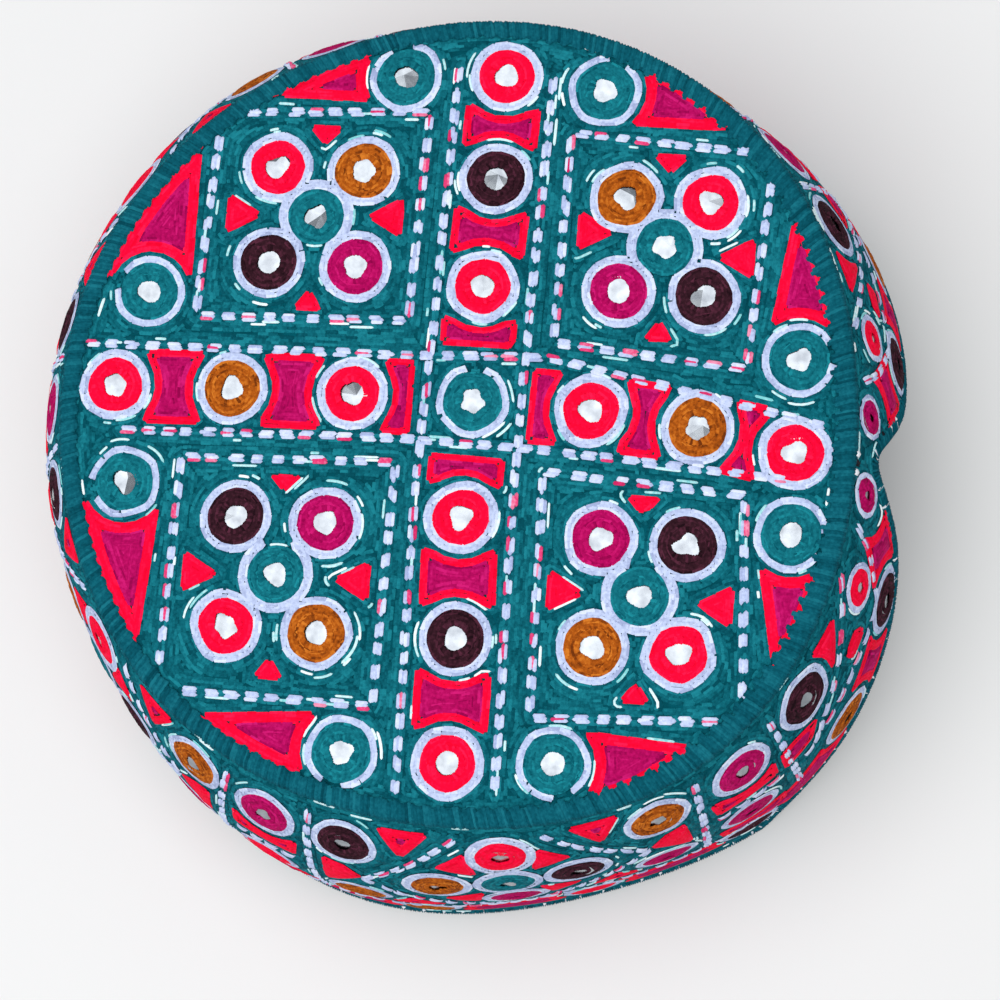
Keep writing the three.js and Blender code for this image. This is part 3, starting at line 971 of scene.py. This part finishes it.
# How each thread is laid: stitch length, row step, width, height, lift and padding
thread_rules = {RED: (2.6, 0.5, 0.84, 0.13, 0.3, 0.3), MAGENTA: (2.6, 0.5, 0.84, 0.13, 0.35, 0.3),
                ORANGE: (1.5, 0.5, 0.8, 0.17, 0.42, 0.2), MAROON: (1.8, 0.5, 0.8, 0.15, 0.42, 0.2),
                TEAL: (1.8, 0.5, 0.8, 0.15, 0.42, 0.2), LILAC: (2.4, 0.58, 0.9, 0.13, 0.35, 0.1)}
# The same for the ground, which has no padding
ground_rule = (2.3, 0.58, 0.86, 0.24, 0.06)
# A pad lies this far over the lift of its stitches, and this far in from the edge of its shape
padding_lift, padding_inset = 0.09, 0.12
# Pale strands lie within this reach of a ring's middle, and a share of them anywhere. Most are white thread;
# those in the row next to the edges of the shapes are a painted highlight along those edges.
ring_reach, stray_share = 10.5, 0.2
# Colours of the pale strands: white thread, and also a painted highlight where they hug the edges of the
# shapes
sliver_and_glint_thread = ((0.2, 0.62, 0.64), (0.55, 0.84, 0.87), (0.9, 0.98, 1.0))
sliver_marks = np.array([0, 0.1, 0.3, 0.5, 0.7, 0.9, 1])


def add_padding(name, chart, label, lift, dome):
    """A smooth pad of the same thread under the stitches of each shape, two cells to a face. It is shaded a
    little darker than the stitches, a painted shade in the gaps between them.
    """
    pick_across, pick_down = np.arange(0, len(chart.across), 2), np.arange(0, len(chart.down), 2)
    grid = np.ix_(pick_across, pick_down)
    inside = (chart.label[grid] == label) & (chart.depth[grid] > padding_inset)
    after = np.roll(inside, -1, 0)
    if not chart.wraps:
        after[-1] = False
    full = inside[:, :-1] & inside[:, 1:] & after[:, :-1] & after[:, 1:]
    i, j = np.nonzero(full)
    rows, columns = len(pick_down), len(pick_across)
    corner = [(i, j), (i, j + 1), ((i + 1) % columns, j + 1), ((i + 1) % columns, j)]
    faces = np.stack([a * rows + b for a, b in corner], -1)
    if chart.place is crown_place:
        faces = faces[:, ::-1]
    used, faces = np.unique(faces, return_inverse=True)
    faces = faces.reshape(-1, 4)
    across, down = chart.across[pick_across[used // rows]], chart.down[pick_down[used % rows]]
    points, outs = chart.place(across, down)
    depth = chart.depth[grid][used // rows, used % rows]
    points = points + outs * (lift + dome * np.clip(depth / dome_edge, 0, 1) + padding_lift)[:, None]
    turns = [(i, j), (i, j + 1), (i + 1, j + 1), (i + 1, j)]
    if chart.place is crown_place:
        turns = turns[::-1]
    uv = np.stack([np.stack([a / (columns + 1), b / rows], -1) for a, b in turns], 1)
    # A shade below the stitches' middle of 0.5: painted shade where the pad shows between the stitches
    shade = np.clip(dice.normal(0.42, 0.07, len(points)), 0, 1)
    add_piece(name, points, faces, thread_cotton[label], uv.reshape(-1, 2), shade)


def add_field(prefix, chart, seeds):
    """Fills every shape of a chart with rows of stitches in its thread"""
    for label, (length, step, width, height, lift, dome) in thread_rules.items():
        add_padding(f"{prefix}_pad_{thread_names[label]}", chart, label, lift, dome)
        lines = chart.rows(label, step, seeds)
        across, down = cut_stitches(lines, length, spread=0.2, gap=-0.5, shares=row_shares)
        add_rows(f"{prefix}_{thread_names[label]}", chart, across, down, thread_cotton[label],
                 width, height, lift, dome)


def add_ground(prefix, chart, seeds, sliver_share, rings):
    """Rows of teal stitches over all the ground, with a few long pale strands laid over them,
    most of them round the rings. The pale strands are white thread, and those in the row next to
    the edges of the shapes are a painted highlight along those edges."""
    length, step, width, height, lift = ground_rule
    lines = chart.rows(GROUND, step, seeds)
    across, down = cut_stitches(lines, length, spread=0.25, gap=-0.3, shares=row_shares)
    add_rows(f"{prefix}_ground", chart, across, down, thread_cotton[GROUND], width, height, lift)
    slivers_and_glints = []
    for line_a, line_b, level in lines:
        total = (len(line_a) - 1) * trace_step
        # Row 0 runs right along the edges of the shapes, so pale strands there are a painted highlight of
        # those edges
        if level in (0, 1, 2) and total > 3.5:
            for _ in range(dice.poisson(total * sliver_share)):
                length = min(dice.uniform(1.5, 6.0), total * 0.9)
                marks = dice.uniform(0, total - length) + length * sliver_marks
                index = np.arange(len(line_a)) * trace_step
                a, b = np.interp(marks, index, line_a), np.interp(marks, index, line_b)
                gap = np.hypot((rings[:, 0] - a[3]) * chart.squeeze(b[3]), rings[:, 1] - b[3]).min()
                if gap < ring_reach or dice.uniform() < stray_share:
                    slivers_and_glints.append((a, b))
    across, down = np.array(slivers_and_glints).transpose(1, 0, 2)
    add_rows(f"{prefix}_slivers", chart, across, down, sliver_and_glint_cotton, width=0.52, height=0.24, lift=0.3)


# Pale thread for the strands, also used as a painted highlight along the edges of the shapes
sliver_and_glint_cotton = thread_material("sliver cotton", sliver_and_glint_thread)
add_field("crown", crown_chart, seeds=6000)
add_ground("crown", crown_chart, seeds=16000, sliver_share=0.03, rings=crown_mirror_at)
add_hems("crown", crown_chart, crown_mirror_at, np.full(mirror_count, hole_radius), ring_threads)
add_dashes("crown_dashes", crown_chart, crown_segments)

# Wall cloth
# The side is a band of the same quilted cotton, cut away in an arch at the front and sewn to
# the crown. It leans out most near the crown and is nearly upright above the rim.
wall_slant = 76.0
wall_thickness = 2.6
crown_overlap = 0.6
# Lean of the wall from upright, in degrees, at a share of the way down its slant
lean_shares = (0, 0.12, 0.3, 0.5, 0.7, 0.85, 1)
lean_degrees = (42, 30, 18, 8, 4, 6, 9)
slant_steps = np.linspace(0, wall_slant, 300)
lean = np.radians(np.interp(slant_steps / wall_slant, lean_shares, lean_degrees))
slant_step = slant_steps[1] - slant_steps[0]
drop_at = np.concatenate([[0], np.cumsum(np.cos((lean[1:] + lean[:-1]) / 2) * slant_step)])
drop_at *= crown_edge_height / drop_at[-1]
spread_at = np.concatenate([[0], np.cumsum(np.sin((lean[1:] + lean[:-1]) / 2) * slant_step)])
spread_at /= spread_at[-1]
# Distance round the wall is counted at this radius from the front toward the side
wall_gauge = 88.0
degree = wall_gauge * np.pi / 180


def wall_point(around, slant, out=0.0):
    angle = around / wall_gauge
    spread = np.interp(slant, slant_steps, spread_at)
    height = crown_edge_height - np.interp(slant, slant_steps, drop_at)
    radius = crown_outline(angle) + (rim_outline(angle) - crown_outline(angle)) * spread + out
    return np.stack([rim_shift_side * spread + radius * np.sin(angle),
                     rim_shift_back * spread - radius * np.cos(angle), height], -1)


def wall_place(around, slant):
    """Points on the wall and the directions that point out of it there"""
    step = 0.4
    slant = np.clip(slant, 0, wall_slant)
    over = np.clip(slant + step, 2 * step, wall_slant)
    along = wall_point(around + step, slant) - wall_point(around - step, slant)
    down = wall_point(around, over) - wall_point(around, over - 2 * step)
    out = np.cross(down, along)
    return wall_point(around, slant), out / np.linalg.norm(out, axis=-1, keepdims=True)


def wall_squeeze(slant):
    """Share of the gauge radius that the wall has at a slant"""
    spread = np.interp(slant, slant_steps, spread_at)
    return (crown_radius + (rim_radius - crown_radius) * spread) / wall_gauge


# Front arch: share of its half width, and share of its height, which ends below the crown. Its
# outline is softened over a short distance, so that it has no corners.
arch_width = 155.0
arch_drop = 8.4
arch_shares = (0, 0.025, 0.06, 0.11, 0.17, 0.25, 0.35, 0.5, 0.67, 0.83, 0.93, 1, 1.1)
arch_rises = (1, 0.985, 0.94, 0.865, 0.77, 0.69, 0.61, 0.515, 0.395, 0.25, 0.12, 0, 0)
arch_softness = 1.2
rim_round = 2 * np.pi * rim_radius
edge_across = np.linspace(-rim_round / 2, rim_round / 2, 2401)
arch_height = crown_edge_height - arch_drop
raw_rise = np.interp(np.abs(edge_across) / (arch_width / 2), arch_shares, arch_rises) * arch_height
kernel = np.exp(-0.5 * (np.arange(-15, 16) * (edge_across[1] - edge_across[0]) / arch_softness) ** 2)
edge_rise = np.convolve(np.pad(raw_rise, 15), kernel / kernel.sum(), "valid")
edge_around = edge_across * wall_gauge / rim_radius
edge_slant = np.interp(crown_edge_height - edge_rise, drop_at, slant_steps)


def wall_edge(around):
    """Slant of the wall's lower edge at a distance round the wall"""
    wrapped = (around + np.pi * wall_gauge) % (2 * np.pi * wall_gauge) - np.pi * wall_gauge
    return np.interp(wrapped, edge_around, edge_slant)


wall_columns, wall_rows = 420, 36
# The cloth stops a little short of the cut edge, inside the edging
edge_inset = 0.6
# Columns crowd together at the front, where the arch is steep
turn_share = np.linspace(-1, 1, wall_columns, endpoint=False)
column_around = np.pi * wall_gauge * (0.45 * turn_share + 0.55 * turn_share**3)
row_share = np.linspace(0, 1, wall_rows)[:, None]
outer_slant = crown_overlap + (wall_edge(column_around) - edge_inset - crown_overlap) * row_share
outer_points, _ = wall_place(np.broadcast_to(column_around, outer_slant.shape), outer_slant)
inner_points = wall_point(np.broadcast_to(column_around, outer_slant.shape), outer_slant, -wall_thickness)
# The last row is the first again, over the top edge that the crown covers
wall_points = np.concatenate([outer_points, inner_points[::-1]])
wall_faces = grid_faces(len(wall_points) + 1, wall_columns) % (len(wall_points) * wall_columns)
wall_cloth = add_piece("wall_cloth", wall_points.reshape(-1, 3), wall_faces, teal_cloth,
                       grid_uv(len(wall_points) + 1, wall_columns))
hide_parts("side_wall")

# Wall embroidery and mirrors
# The side repeats the crown's work in panels: two medallions in a column, then a wide panel with
# nine in a dashed diamond, mirrored about the front, over a border of medallions at the rim.
column_upper, column_lower = 12.0, 35.0
low_line = 51.5
# Columns: middle angle, degrees that it leans by, and threads of the upper and the lower ring
column_medallions = [(45.5, 1.5, MAGENTA, MAGENTA), (-45.5, -1.5, MAGENTA, MAGENTA),
                     (113, 0, MAGENTA, RED), (-113, 0, MAGENTA, RED), (180, 0, MAGENTA, RED)]
wide_panels = (79.75, -79.75, 146.5, -146.5)
panel_middle = 25.0
# Medallions of a wide panel: degrees from its middle, slant and thread
panel_medallions = [(0, 25, TEAL), (0, 11.6, RED), (0, 38.6, MAGENTA), (-9.4, 25, ORANGE), (9.4, 25, MAROON),
                    (-21.6, 11.5, MAROON), (21.6, 11.5, ORANGE), (20.5, 38, MAGENTA), (-20.5, 38, ORANGE)]
# Border round the arch and along the rim: angle, slant and thread, mirrored about the front
border_medallions = [(5.4, 6.8, MAGENTA), (15.5, 26, MAROON), (30.1, 36, ORANGE), (48.4, 60, MAROON),
                     (70.9, 62, RED), (93.1, 62, ORANGE), (114.8, 62, MAGENTA), (136.5, 62, MAROON),
                     (158.3, 62, RED), (180, 62, ORANGE)]
front_medallions = [(33.3, 10.5, MAROON), (17, 11, RED)]
# Medallions beside the notch that are worked smaller: angle and size
small_medallions = {5.4: 0.6, 17: 0.66}
wall_medallion_size, wall_hole_size = 0.95, 0.78


def on_wall(angle, slant):
    return (angle * degree, slant)


wall_half = np.pi * wall_gauge
wall_chart = Chart(wall_place, wall_squeeze, (-wall_half, wall_half), (0.0, wall_slant + 1), True)
grid_around, grid_slant = np.meshgrid(wall_chart.across, wall_chart.down, indexing="ij")
# The seam's stitches reach this far down the wall, and those of the rim this far in from its edge
seam_outer = 1.7
edging_reach = 3.4
# Distance to the cut edge, from points along it
edge_line = np.stack([edge_around, edge_slant], -1)[::6]
edge_gap = np.empty(grid_around.shape)
for column in range(len(wall_chart.across)):
    near = np.abs(edge_line[:, 0] - wall_chart.across[column]) < 30
    squeeze = wall_squeeze(grid_slant[column])[:, None]
    gap_across = (edge_line[near, 0][None] - wall_chart.across[column]) * squeeze
    gap_down = edge_line[near, 1][None] - grid_slant[column][:, None]
    edge_gap[column] = np.sqrt((gap_across**2 + gap_down**2).min(1))
edge_gap = np.where(grid_slant > wall_edge(grid_around), -edge_gap, edge_gap)
wall_chart.depth = np.minimum(np.abs(grid_slant - seam_outer), np.abs(edge_gap - edging_reach))
seam_tuck = 1.2
wall_chart.label[(grid_slant < seam_outer - seam_tuck) | (edge_gap < edging_reach - ground_tuck)] = NOTHING

wall_rings = []
for middle, leans, upper, lower in column_medallions:
    wall_rings.append((middle, column_upper, upper))
    wall_rings.append((middle + leans, column_lower, lower))
for middle in wide_panels:
    flip = -1 if middle > 0 else 1
    wall_rings += [(middle + flip * turn, slant, thread) for turn, slant, thread in panel_medallions]
for turn, slant, thread in border_medallions + front_medallions:
    wall_rings.append((turn, slant, thread))
    if turn != 180:
        wall_rings.append((-turn, slant, thread))
wall_centres = np.array([on_wall(turn, slant) for turn, slant, _ in wall_rings])
wall_threads = [thread for _, _, thread in wall_rings]
wall_sizes = np.array([small_medallions.get(abs(turn), wall_medallion_size) for turn, _, _ in wall_rings])
wall_waves = [hand_waves() for _ in wall_rings]
for centre, thread, size, waves in zip(wall_centres, wall_threads, wall_sizes, wall_waves):
    wall_chart.mark(NOTHING, centre, hole_radius + 1, disc(hole_radius * size * wall_hole_size))
    wall_chart.mark(thread, centre, ring_map, uneven_disc(ring_radius * size, waves))
panel_squeeze = float(wall_squeeze(panel_middle))
for middle in wide_panels:
    places = [(turn * degree * panel_squeeze, slant - panel_middle)
              for turn, slant, _ in panel_medallions[:5]]
    discs = [disc(lilac_radius, *at) for at in places]
    wall_chart.mark(LILAC, on_wall(middle, panel_middle), group_map, joined(discs))
for centre, size, waves in zip(wall_centres, wall_sizes, wall_waves):
    wall_chart.mark(LILAC, centre, lilac_map, uneven_disc(lilac_radius * size, waves))

# Patches of a column, under its upper and its lower ring, as corners in degrees from its middle
# and slant
upper_patch = [(-4.9, 17.5), (4.9, 17.5), (4.7, 24), (-4.7, 24)]
lower_patch = [(-4.9, 41), (4.9, 41), (4.9, 49.3), (-4.9, 49.3)]
column_border = 1.8
for middle, leans, _, _ in column_medallions:
    half_way, low = middle + leans / 2, middle + leans
    mark_polygon(wall_chart, (RED, MAGENTA), [on_wall(half_way + a, s) for a, s in upper_patch],
                 [on_wall(middle, column_upper)], column_border)
    mark_polygon(wall_chart, (RED, MAGENTA), [on_wall(low + a, s) for a, s in lower_patch],
                 [on_wall(low, column_lower)], column_border)

# Triangles of a wide panel for one corner of four: in millimetres from its middle, then in
# degrees from its middle and slant
inner_triangle = [(7.5, -15.5), (14.5, -9.5), (5.8, -6)]
outer_triangle = [(9.5, 4), (17, 4), (13.7, 12.5)]
side_triangle = [(24.6, 15), (24.6, 33), (19.3, 24.5)]
outer_border = 2.2
for middle in wide_panels:
    holes = [on_wall(middle + turn, slant) for turn, slant, _ in panel_medallions[1:]]
    holes += [on_wall(middle - turn, slant) for turn, slant, _ in panel_medallions[5:]]
    for flip in (-1, 1):
        for turn in (-1, 1):
            inner = [(middle * degree + flip * x / panel_squeeze, panel_middle + turn * y)
                     for x, y in inner_triangle]
            outer = [on_wall(middle + flip * a, panel_middle + turn * (s - panel_middle))
                     for a, s in outer_triangle]
            mark_polygon(wall_chart, (RED,), inner)
            mark_polygon(wall_chart, (RED, MAGENTA), outer, holes, outer_border)
        side = [on_wall(middle + flip * a, s) for a, s in side_triangle]
        mark_polygon(wall_chart, (RED,), side, holes)

# Patches beside the arch on one side of the front: threads, border, the front medallion that they
# follow, and corners of angle and slant
front_patches = [((RED, MAGENTA), 1.6, 0, [(32.5, 17), (40.2, 18), (40.5, 25.5), (35.5, 24)]),
                 ((RED,), patch_border, 0, [(29, 4.5), (22.7, 5.5), (27.8, 14)]),
                 ((RED,), patch_border, 1, [(20.5, 14.5), (25.5, 15.5), (24.5, 19.5), (21, 19)])]
# Patches between the medallions of the border
rim_patch_half_width, rim_patch_border = 6.0, 1.9
for flip in (-1, 1):
    for threads, border, beside, corners in front_patches:
        turn, slant, _ = front_medallions[beside]
        mark_polygon(wall_chart, threads, [on_wall(flip * a, s) for a, s in corners],
                     [on_wall(flip * turn, slant)], border)
    rings = [on_wall(flip * turn, slant) for turn, slant, _ in border_medallions]
    for start, end in zip(rings, rings[1:]):
        squeeze = float(wall_squeeze((start[1] + end[1]) / 2))
        at, reach, shape = patch(start, end, rim_patch_half_width, squeeze)
        wall_chart.mark(MAGENTA, at, reach, grown(shape, -rim_patch_border))
        wall_chart.mark(RED, at, reach, shape)

wall_segments = []
# Dashed lines of a front panel, as points of angle and slant, mirrored about the front
front_line_upper = [(17, 3), (22.7, 9.2), (27.7, 15.5), (33, 22), (35.4, 27.4), (38.1, 28.5)]
front_line_lower = [(10.1, 4.9), (12.1, 11.2), (16.9, 20.5), (25.3, 21.6), (33.3, 25.4)]
for flip in (-1, 1):
    for route in (front_line_upper, front_line_lower):
        points = [on_wall(flip * turn, slant) for turn, slant in route]
        wall_segments += list(zip(points, points[1:]))
# Slant of the dashed lines' upper ends, of the line between a column's rings and of the diamonds'
# lower ends, and degrees from a column's middle to its two side lines and to the ends of the others
top_line, column_line, diamond_low = 4.8, 26.2, 51.2
side_line_top, side_line_low = 6.4, 7.3
column_line_half, low_line_half = 5, 6.5
for middle, leans, _, _ in column_medallions:
    half_way, low = middle + leans / 2, middle + leans
    for side in (-1, 1):
        wall_segments.append((on_wall(middle + side * side_line_top, top_line),
                              on_wall(low + side * side_line_low, low_line)))
    wall_segments.append((on_wall(half_way - column_line_half, column_line),
                          on_wall(half_way + column_line_half, column_line)))
    wall_segments.append((on_wall(low - low_line_half, low_line), on_wall(low + low_line_half, low_line)))
# Corners of a wide panel's diamond, in degrees from its middle and slant. Its tips are cut off.
diamond_corners = [(0, -4), (19.3, 25), (0, 54), (-19.3, 25)]
panel_line_half = 25.5
for middle in wide_panels:
    diamond = [on_wall(middle + turn, slant) for turn, slant in diamond_corners]
    for (a0, b0), (a1, b1) in zip(diamond, diamond[1:] + diamond[:1]):
        shares = [(np.clip(b, top_line, diamond_low) - b0) / (b1 - b0) for b in (b0, b1)]
        wall_segments.append(tuple((a0 + (a1 - a0) * share, b0 + (b1 - b0) * share) for share in shares))
    wall_segments.append((on_wall(middle - panel_line_half, low_line),
                          on_wall(middle + panel_line_half, low_line)))
for start, end in wall_segments:
    mark_line(wall_chart, start, end)

add_field("wall", wall_chart, seeds=14000)
add_ground("wall", wall_chart, seeds=30000, sliver_share=0.022, rings=wall_centres)
add_hems("wall", wall_chart, wall_centres, hole_radius * wall_hole_size * wall_sizes, wall_threads)
add_dashes("wall_dashes", wall_chart, wall_segments)
wall_mirror_places, wall_mirror_outs = wall_place(wall_centres[:, 0], wall_centres[:, 1])
add_mirrors("wall_mirrors", wall_mirror_places, wall_mirror_outs, mirror_radius)

# Crown seam
# Crown and side are joined by a thick row of teal overcast stitches over the corner, which
# bite unevenly into the crown's outer triangles.
seam_stitches = 820
# Height of the ridge over the corner and of the ends that lie on the crown
ridge_rise, flat_rise, ridge_width = 1.1, 0.62, 1.4
# Depth of the bites into the triangles at the back and, greater, at the front
tooth_sizes = (0.7, 1.9)
tooth_pitch = np.radians(2.2)
seam_angle = np.linspace(0, 2 * np.pi, seam_stitches, endpoint=False)
seam_angle = seam_angle + dice.normal(0, 0.0012, seam_stitches)
# How far round the cap a stitch of the seam leans, in radians
seam_lean = 0.014
tooth_size = tooth_sizes[0] + (tooth_sizes[1] - tooth_sizes[0]) * np.clip(1.5 * np.cos(seam_angle), 0, 1)
tooth = tooth_size * np.abs((seam_angle / tooth_pitch) % 1 - 0.5) * 2
tooth = tooth + dice.uniform(-0.1, 0.1, seam_stitches)
seam_from = -seam_inner - tooth + 0.4
seam_to = seam_outer + dice.uniform(-0.3, 0.3, seam_stitches)
seam_shares = np.array([0, 0.04, 0.28, 0.5, 0.68, 0.88, 1])
seam_path = seam_from[:, None] + (seam_to - seam_from)[:, None] * seam_shares[None]
seam_turn = seam_angle[:, None] + seam_lean * (seam_shares[None] - 0.5)
seam_radius = crown_outline(seam_turn) + np.minimum(seam_path, 0)
crown_side, crown_out = crown_place(seam_radius * np.sin(seam_turn), -seam_radius * np.cos(seam_turn))
wall_side, wall_out = wall_place(seam_turn * wall_gauge, np.maximum(seam_path, 0))
over = (seam_path >= 0)[..., None]
blend = np.clip((seam_path + 2.0) / 4.0, 0, 1)[..., None]
seam_lines = np.where(over, wall_side, crown_side)
seam_outs = crown_out * (1 - blend) + wall_out * blend
seam_outs /= np.linalg.norm(seam_outs, axis=-1, keepdims=True)
seam_rise = flat_rise + (ridge_rise - flat_rise) * np.exp(-((seam_path - 0.4) / ridge_width) ** 2)
seam_rise = seam_rise * np.array([0.5, 1, 1, 1, 1, 1, 0.3])
seam_lifts = seam_rise * dice.uniform(0.96, 1.04, (seam_stitches, 1))
seam_widths = 0.86 * dice.uniform(0.9, 1.15, (seam_stitches, 1)) * np.ones(7)
seam_heights = 0.34 * dice.uniform(0.85, 1.2, (seam_stitches, 1)) * np.ones(7)
seam_colours = ((0.0, 0.055, 0.08), (0.002, 0.098, 0.138), (0.008, 0.16, 0.21))
seam_cotton = thread_material("seam cotton", seam_colours)
crown_seam = add_stitches("seam_stitches", seam_lines, seam_outs, seam_widths, seam_heights, seam_lifts,
                          seam_cotton, dice.normal(0.5, 0.2, seam_stitches))
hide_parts("crown_seam")
# A smooth pad of the same thread lies just under the stitches, without their two tips. It is darker than the
# stitches, a painted shade in the gaps between them.
pad_sink = 0.06
pad_lift = (seam_rise[::2] - pad_sink)[..., None]
seam_pad = (seam_lines[::2] + seam_outs[::2] * pad_lift)[:, 1:-1].transpose(1, 0, 2)
pad_rows, pad_columns = seam_pad.shape[:2]
# Shade 0.3, below the stitches' 0.5: painted shade where the pad shows between the seam stitches
add_piece("seam_pad", seam_pad.reshape(-1, 3), grid_faces(pad_rows, pad_columns), seam_cotton,
          grid_uv(pad_rows, pad_columns), np.full(pad_rows * pad_columns, 0.3))

# Three tacks, white, black and white, hold the seam above the notch
tack_turns = np.radians([-1.2, -2.5, -3.8])
tack_path = np.array([0.6, 0.9, 1.7, 2.4, 2.7])
tack_around = tack_turns[:, None] * wall_gauge + 0.3 * tack_path[None]
tack_lines, tack_outs = wall_place(tack_around, np.broadcast_to(tack_path, tack_around.shape))
tack_lifts = np.broadcast_to([0.2, 1.0, 0.9, 0.6, 0.1], (3, 5))
white_thread = ((0.6, 0.64, 0.72), (0.82, 0.85, 0.9), (0.97, 0.98, 1.0))
black_thread = ((0.004, 0.004, 0.006), (0.012, 0.012, 0.016), (0.04, 0.04, 0.05))
whip_cotton = thread_material("whip cotton", white_thread)
black_cotton = thread_material("black cotton", black_thread)
for name, cotton, chosen in (("white_tacks", whip_cotton, [0, 2]), ("black_tack", black_cotton, [1])):
    widths, heights = np.full((len(chosen), 5), 1.3), np.full((len(chosen), 5), 0.4)
    add_stitches(name, tack_lines[chosen], tack_outs[chosen], widths, heights, tack_lifts[chosen],
                 cotton, np.full(len(chosen), 0.6))

# Rim edging
# The rim and the arch are bound with teal overcast stitches, with a whip stitch of thick white
# thread every few millimetres.
edge_steps = np.hypot(np.diff(edge_around) * wall_squeeze(edge_slant[1:]), np.diff(edge_slant))
edge_length = np.concatenate([[0], np.cumsum(edge_steps)])


def edge_path(length, inward):
    """Points over the cut edge at lengths along it, and the directions out of it. inward is the
    way in from the edge over the outside, or below zero over the inside."""
    length = length % edge_length[-1]
    around = np.interp(length, edge_length, edge_around)
    slant = np.interp(length, edge_length, edge_slant)
    ahead, behind = length + 0.6, length - 0.6
    ahead_around = np.interp(ahead, edge_length, edge_around) - np.interp(behind, edge_length, edge_around)
    ahead_slant = np.interp(ahead, edge_length, edge_slant) - np.interp(behind, edge_length, edge_slant)
    squeeze = wall_squeeze(slant)
    size = np.hypot(ahead_around * squeeze, ahead_slant) + 1e-9
    in_around, in_slant = ahead_slant / size / squeeze, -ahead_around * squeeze / size
    outer, out = wall_place(around + in_around * np.abs(inward), slant + in_slant * np.abs(inward))
    side = np.clip(inward / 0.5, -1, 1)[..., None]
    place = outer - out * wall_thickness * (1 - side) / 2
    above, _ = wall_place(around + in_around * 2, slant + in_slant * 2)
    edge_point, _ = wall_place(around, slant)
    down = edge_point - above
    down /= np.linalg.norm(down, axis=-1, keepdims=True)
    facing = out * side + down * (1 - np.abs(side))
    return place, facing / np.linalg.norm(facing, axis=-1, keepdims=True)


roll_inward = np.array([3.2, 2.2, 1.2, 0.5, 0.0, -0.5, -1.2, -2.2, -3.2])[:, None]
roll_lift = np.array([-0.1, 0.3, 0.4, 0.4, 0.0, 0.3, 0.3, 0.2, -0.1])[:, None, None]
roll_columns = 900
# The roll and the stitches over it stay this far above what the cap stands on
roll_floor_gap, stitch_floor_gap = 0.15, 0.6
roll_length = np.linspace(0, edge_length[-1], roll_columns, endpoint=False)[None]
roll_points, roll_facing = edge_path(roll_length + 0 * roll_inward, roll_inward + 0 * roll_length)
roll_points = roll_points + roll_facing * roll_lift
roll_points[..., 2] = np.maximum(roll_points[..., 2], roll_floor_gap)
roll_rows = len(roll_inward)
rim_roll = add_piece("rim_roll", roll_points.reshape(-1, 3), grid_faces(roll_rows, roll_columns),
                     teal_cloth, grid_uv(roll_rows, roll_columns))
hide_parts("rim_edging")


whip_reach, whip_height = 3.6, 0.3


def whip_stitches(name, starts, width, lift, slant, material, shades):
    """Stitches that wrap over the cut edge from the outside to the inside"""
    count = len(starts)
    steps = np.array([whip_reach, whip_reach * 0.75, 0.9, 0.0, -0.9, -whip_reach * 0.7, -whip_reach * 0.9])
    inward = steps[None] * dice.uniform(0.88, 1.12, (count, 1))
    lines, outs = edge_path(starts[:, None] + slant * inward / whip_reach, inward)
    lines[..., 2] = np.maximum(lines[..., 2], stitch_floor_gap)
    widths = width * dice.uniform(0.88, 1.12, (count, 1)) * np.ones(7)
    heights = whip_height * np.array([1, 1, 1, 0.2, 1, 1, 1]) * dice.uniform(0.85, 1.15, (count, 1))
    lifts = np.broadcast_to([0.0, lift, lift, 0.15, lift * 0.8, lift * 0.6, 0.0], inward.shape)
    add_stitches(name, lines, outs, widths, heights, lifts, material, shades)


def spaced_starts(pitch, jitter):
    """Lengths along the cut edge, about a pitch apart"""
    count = int(edge_length[-1] / pitch)
    return np.linspace(0, edge_length[-1], count, endpoint=False) + dice.uniform(-jitter, jitter, count)


rim_starts = spaced_starts(pitch=0.5, jitter=0.1)
rim_shades = dice.normal(0.5, 0.2, len(rim_starts))
whip_stitches("rim_overcast", rim_starts, width=0.6, lift=0.45, slant=0.3, material=seam_cotton,
              shades=rim_shades)
whip_starts = spaced_starts(pitch=4.5, jitter=0.5)
# Some of the whip stitches round the top of the arch are of black thread
in_arch = np.abs(np.interp(whip_starts, edge_length, edge_around)) < arch_width / 4
black_share = 0.4
black = in_arch & (dice.uniform(size=len(whip_starts)) < black_share)
for name, cotton, chosen in (("rim_whip", whip_cotton, ~black), ("rim_whip_black", black_cotton, black)):
    whip_shades = dice.normal(0.5, 0.2, chosen.sum())
    whip_stitches(name, whip_starts[chosen], width=0.95, lift=0.38, slant=1.0, material=cotton,
                  shades=whip_shades)
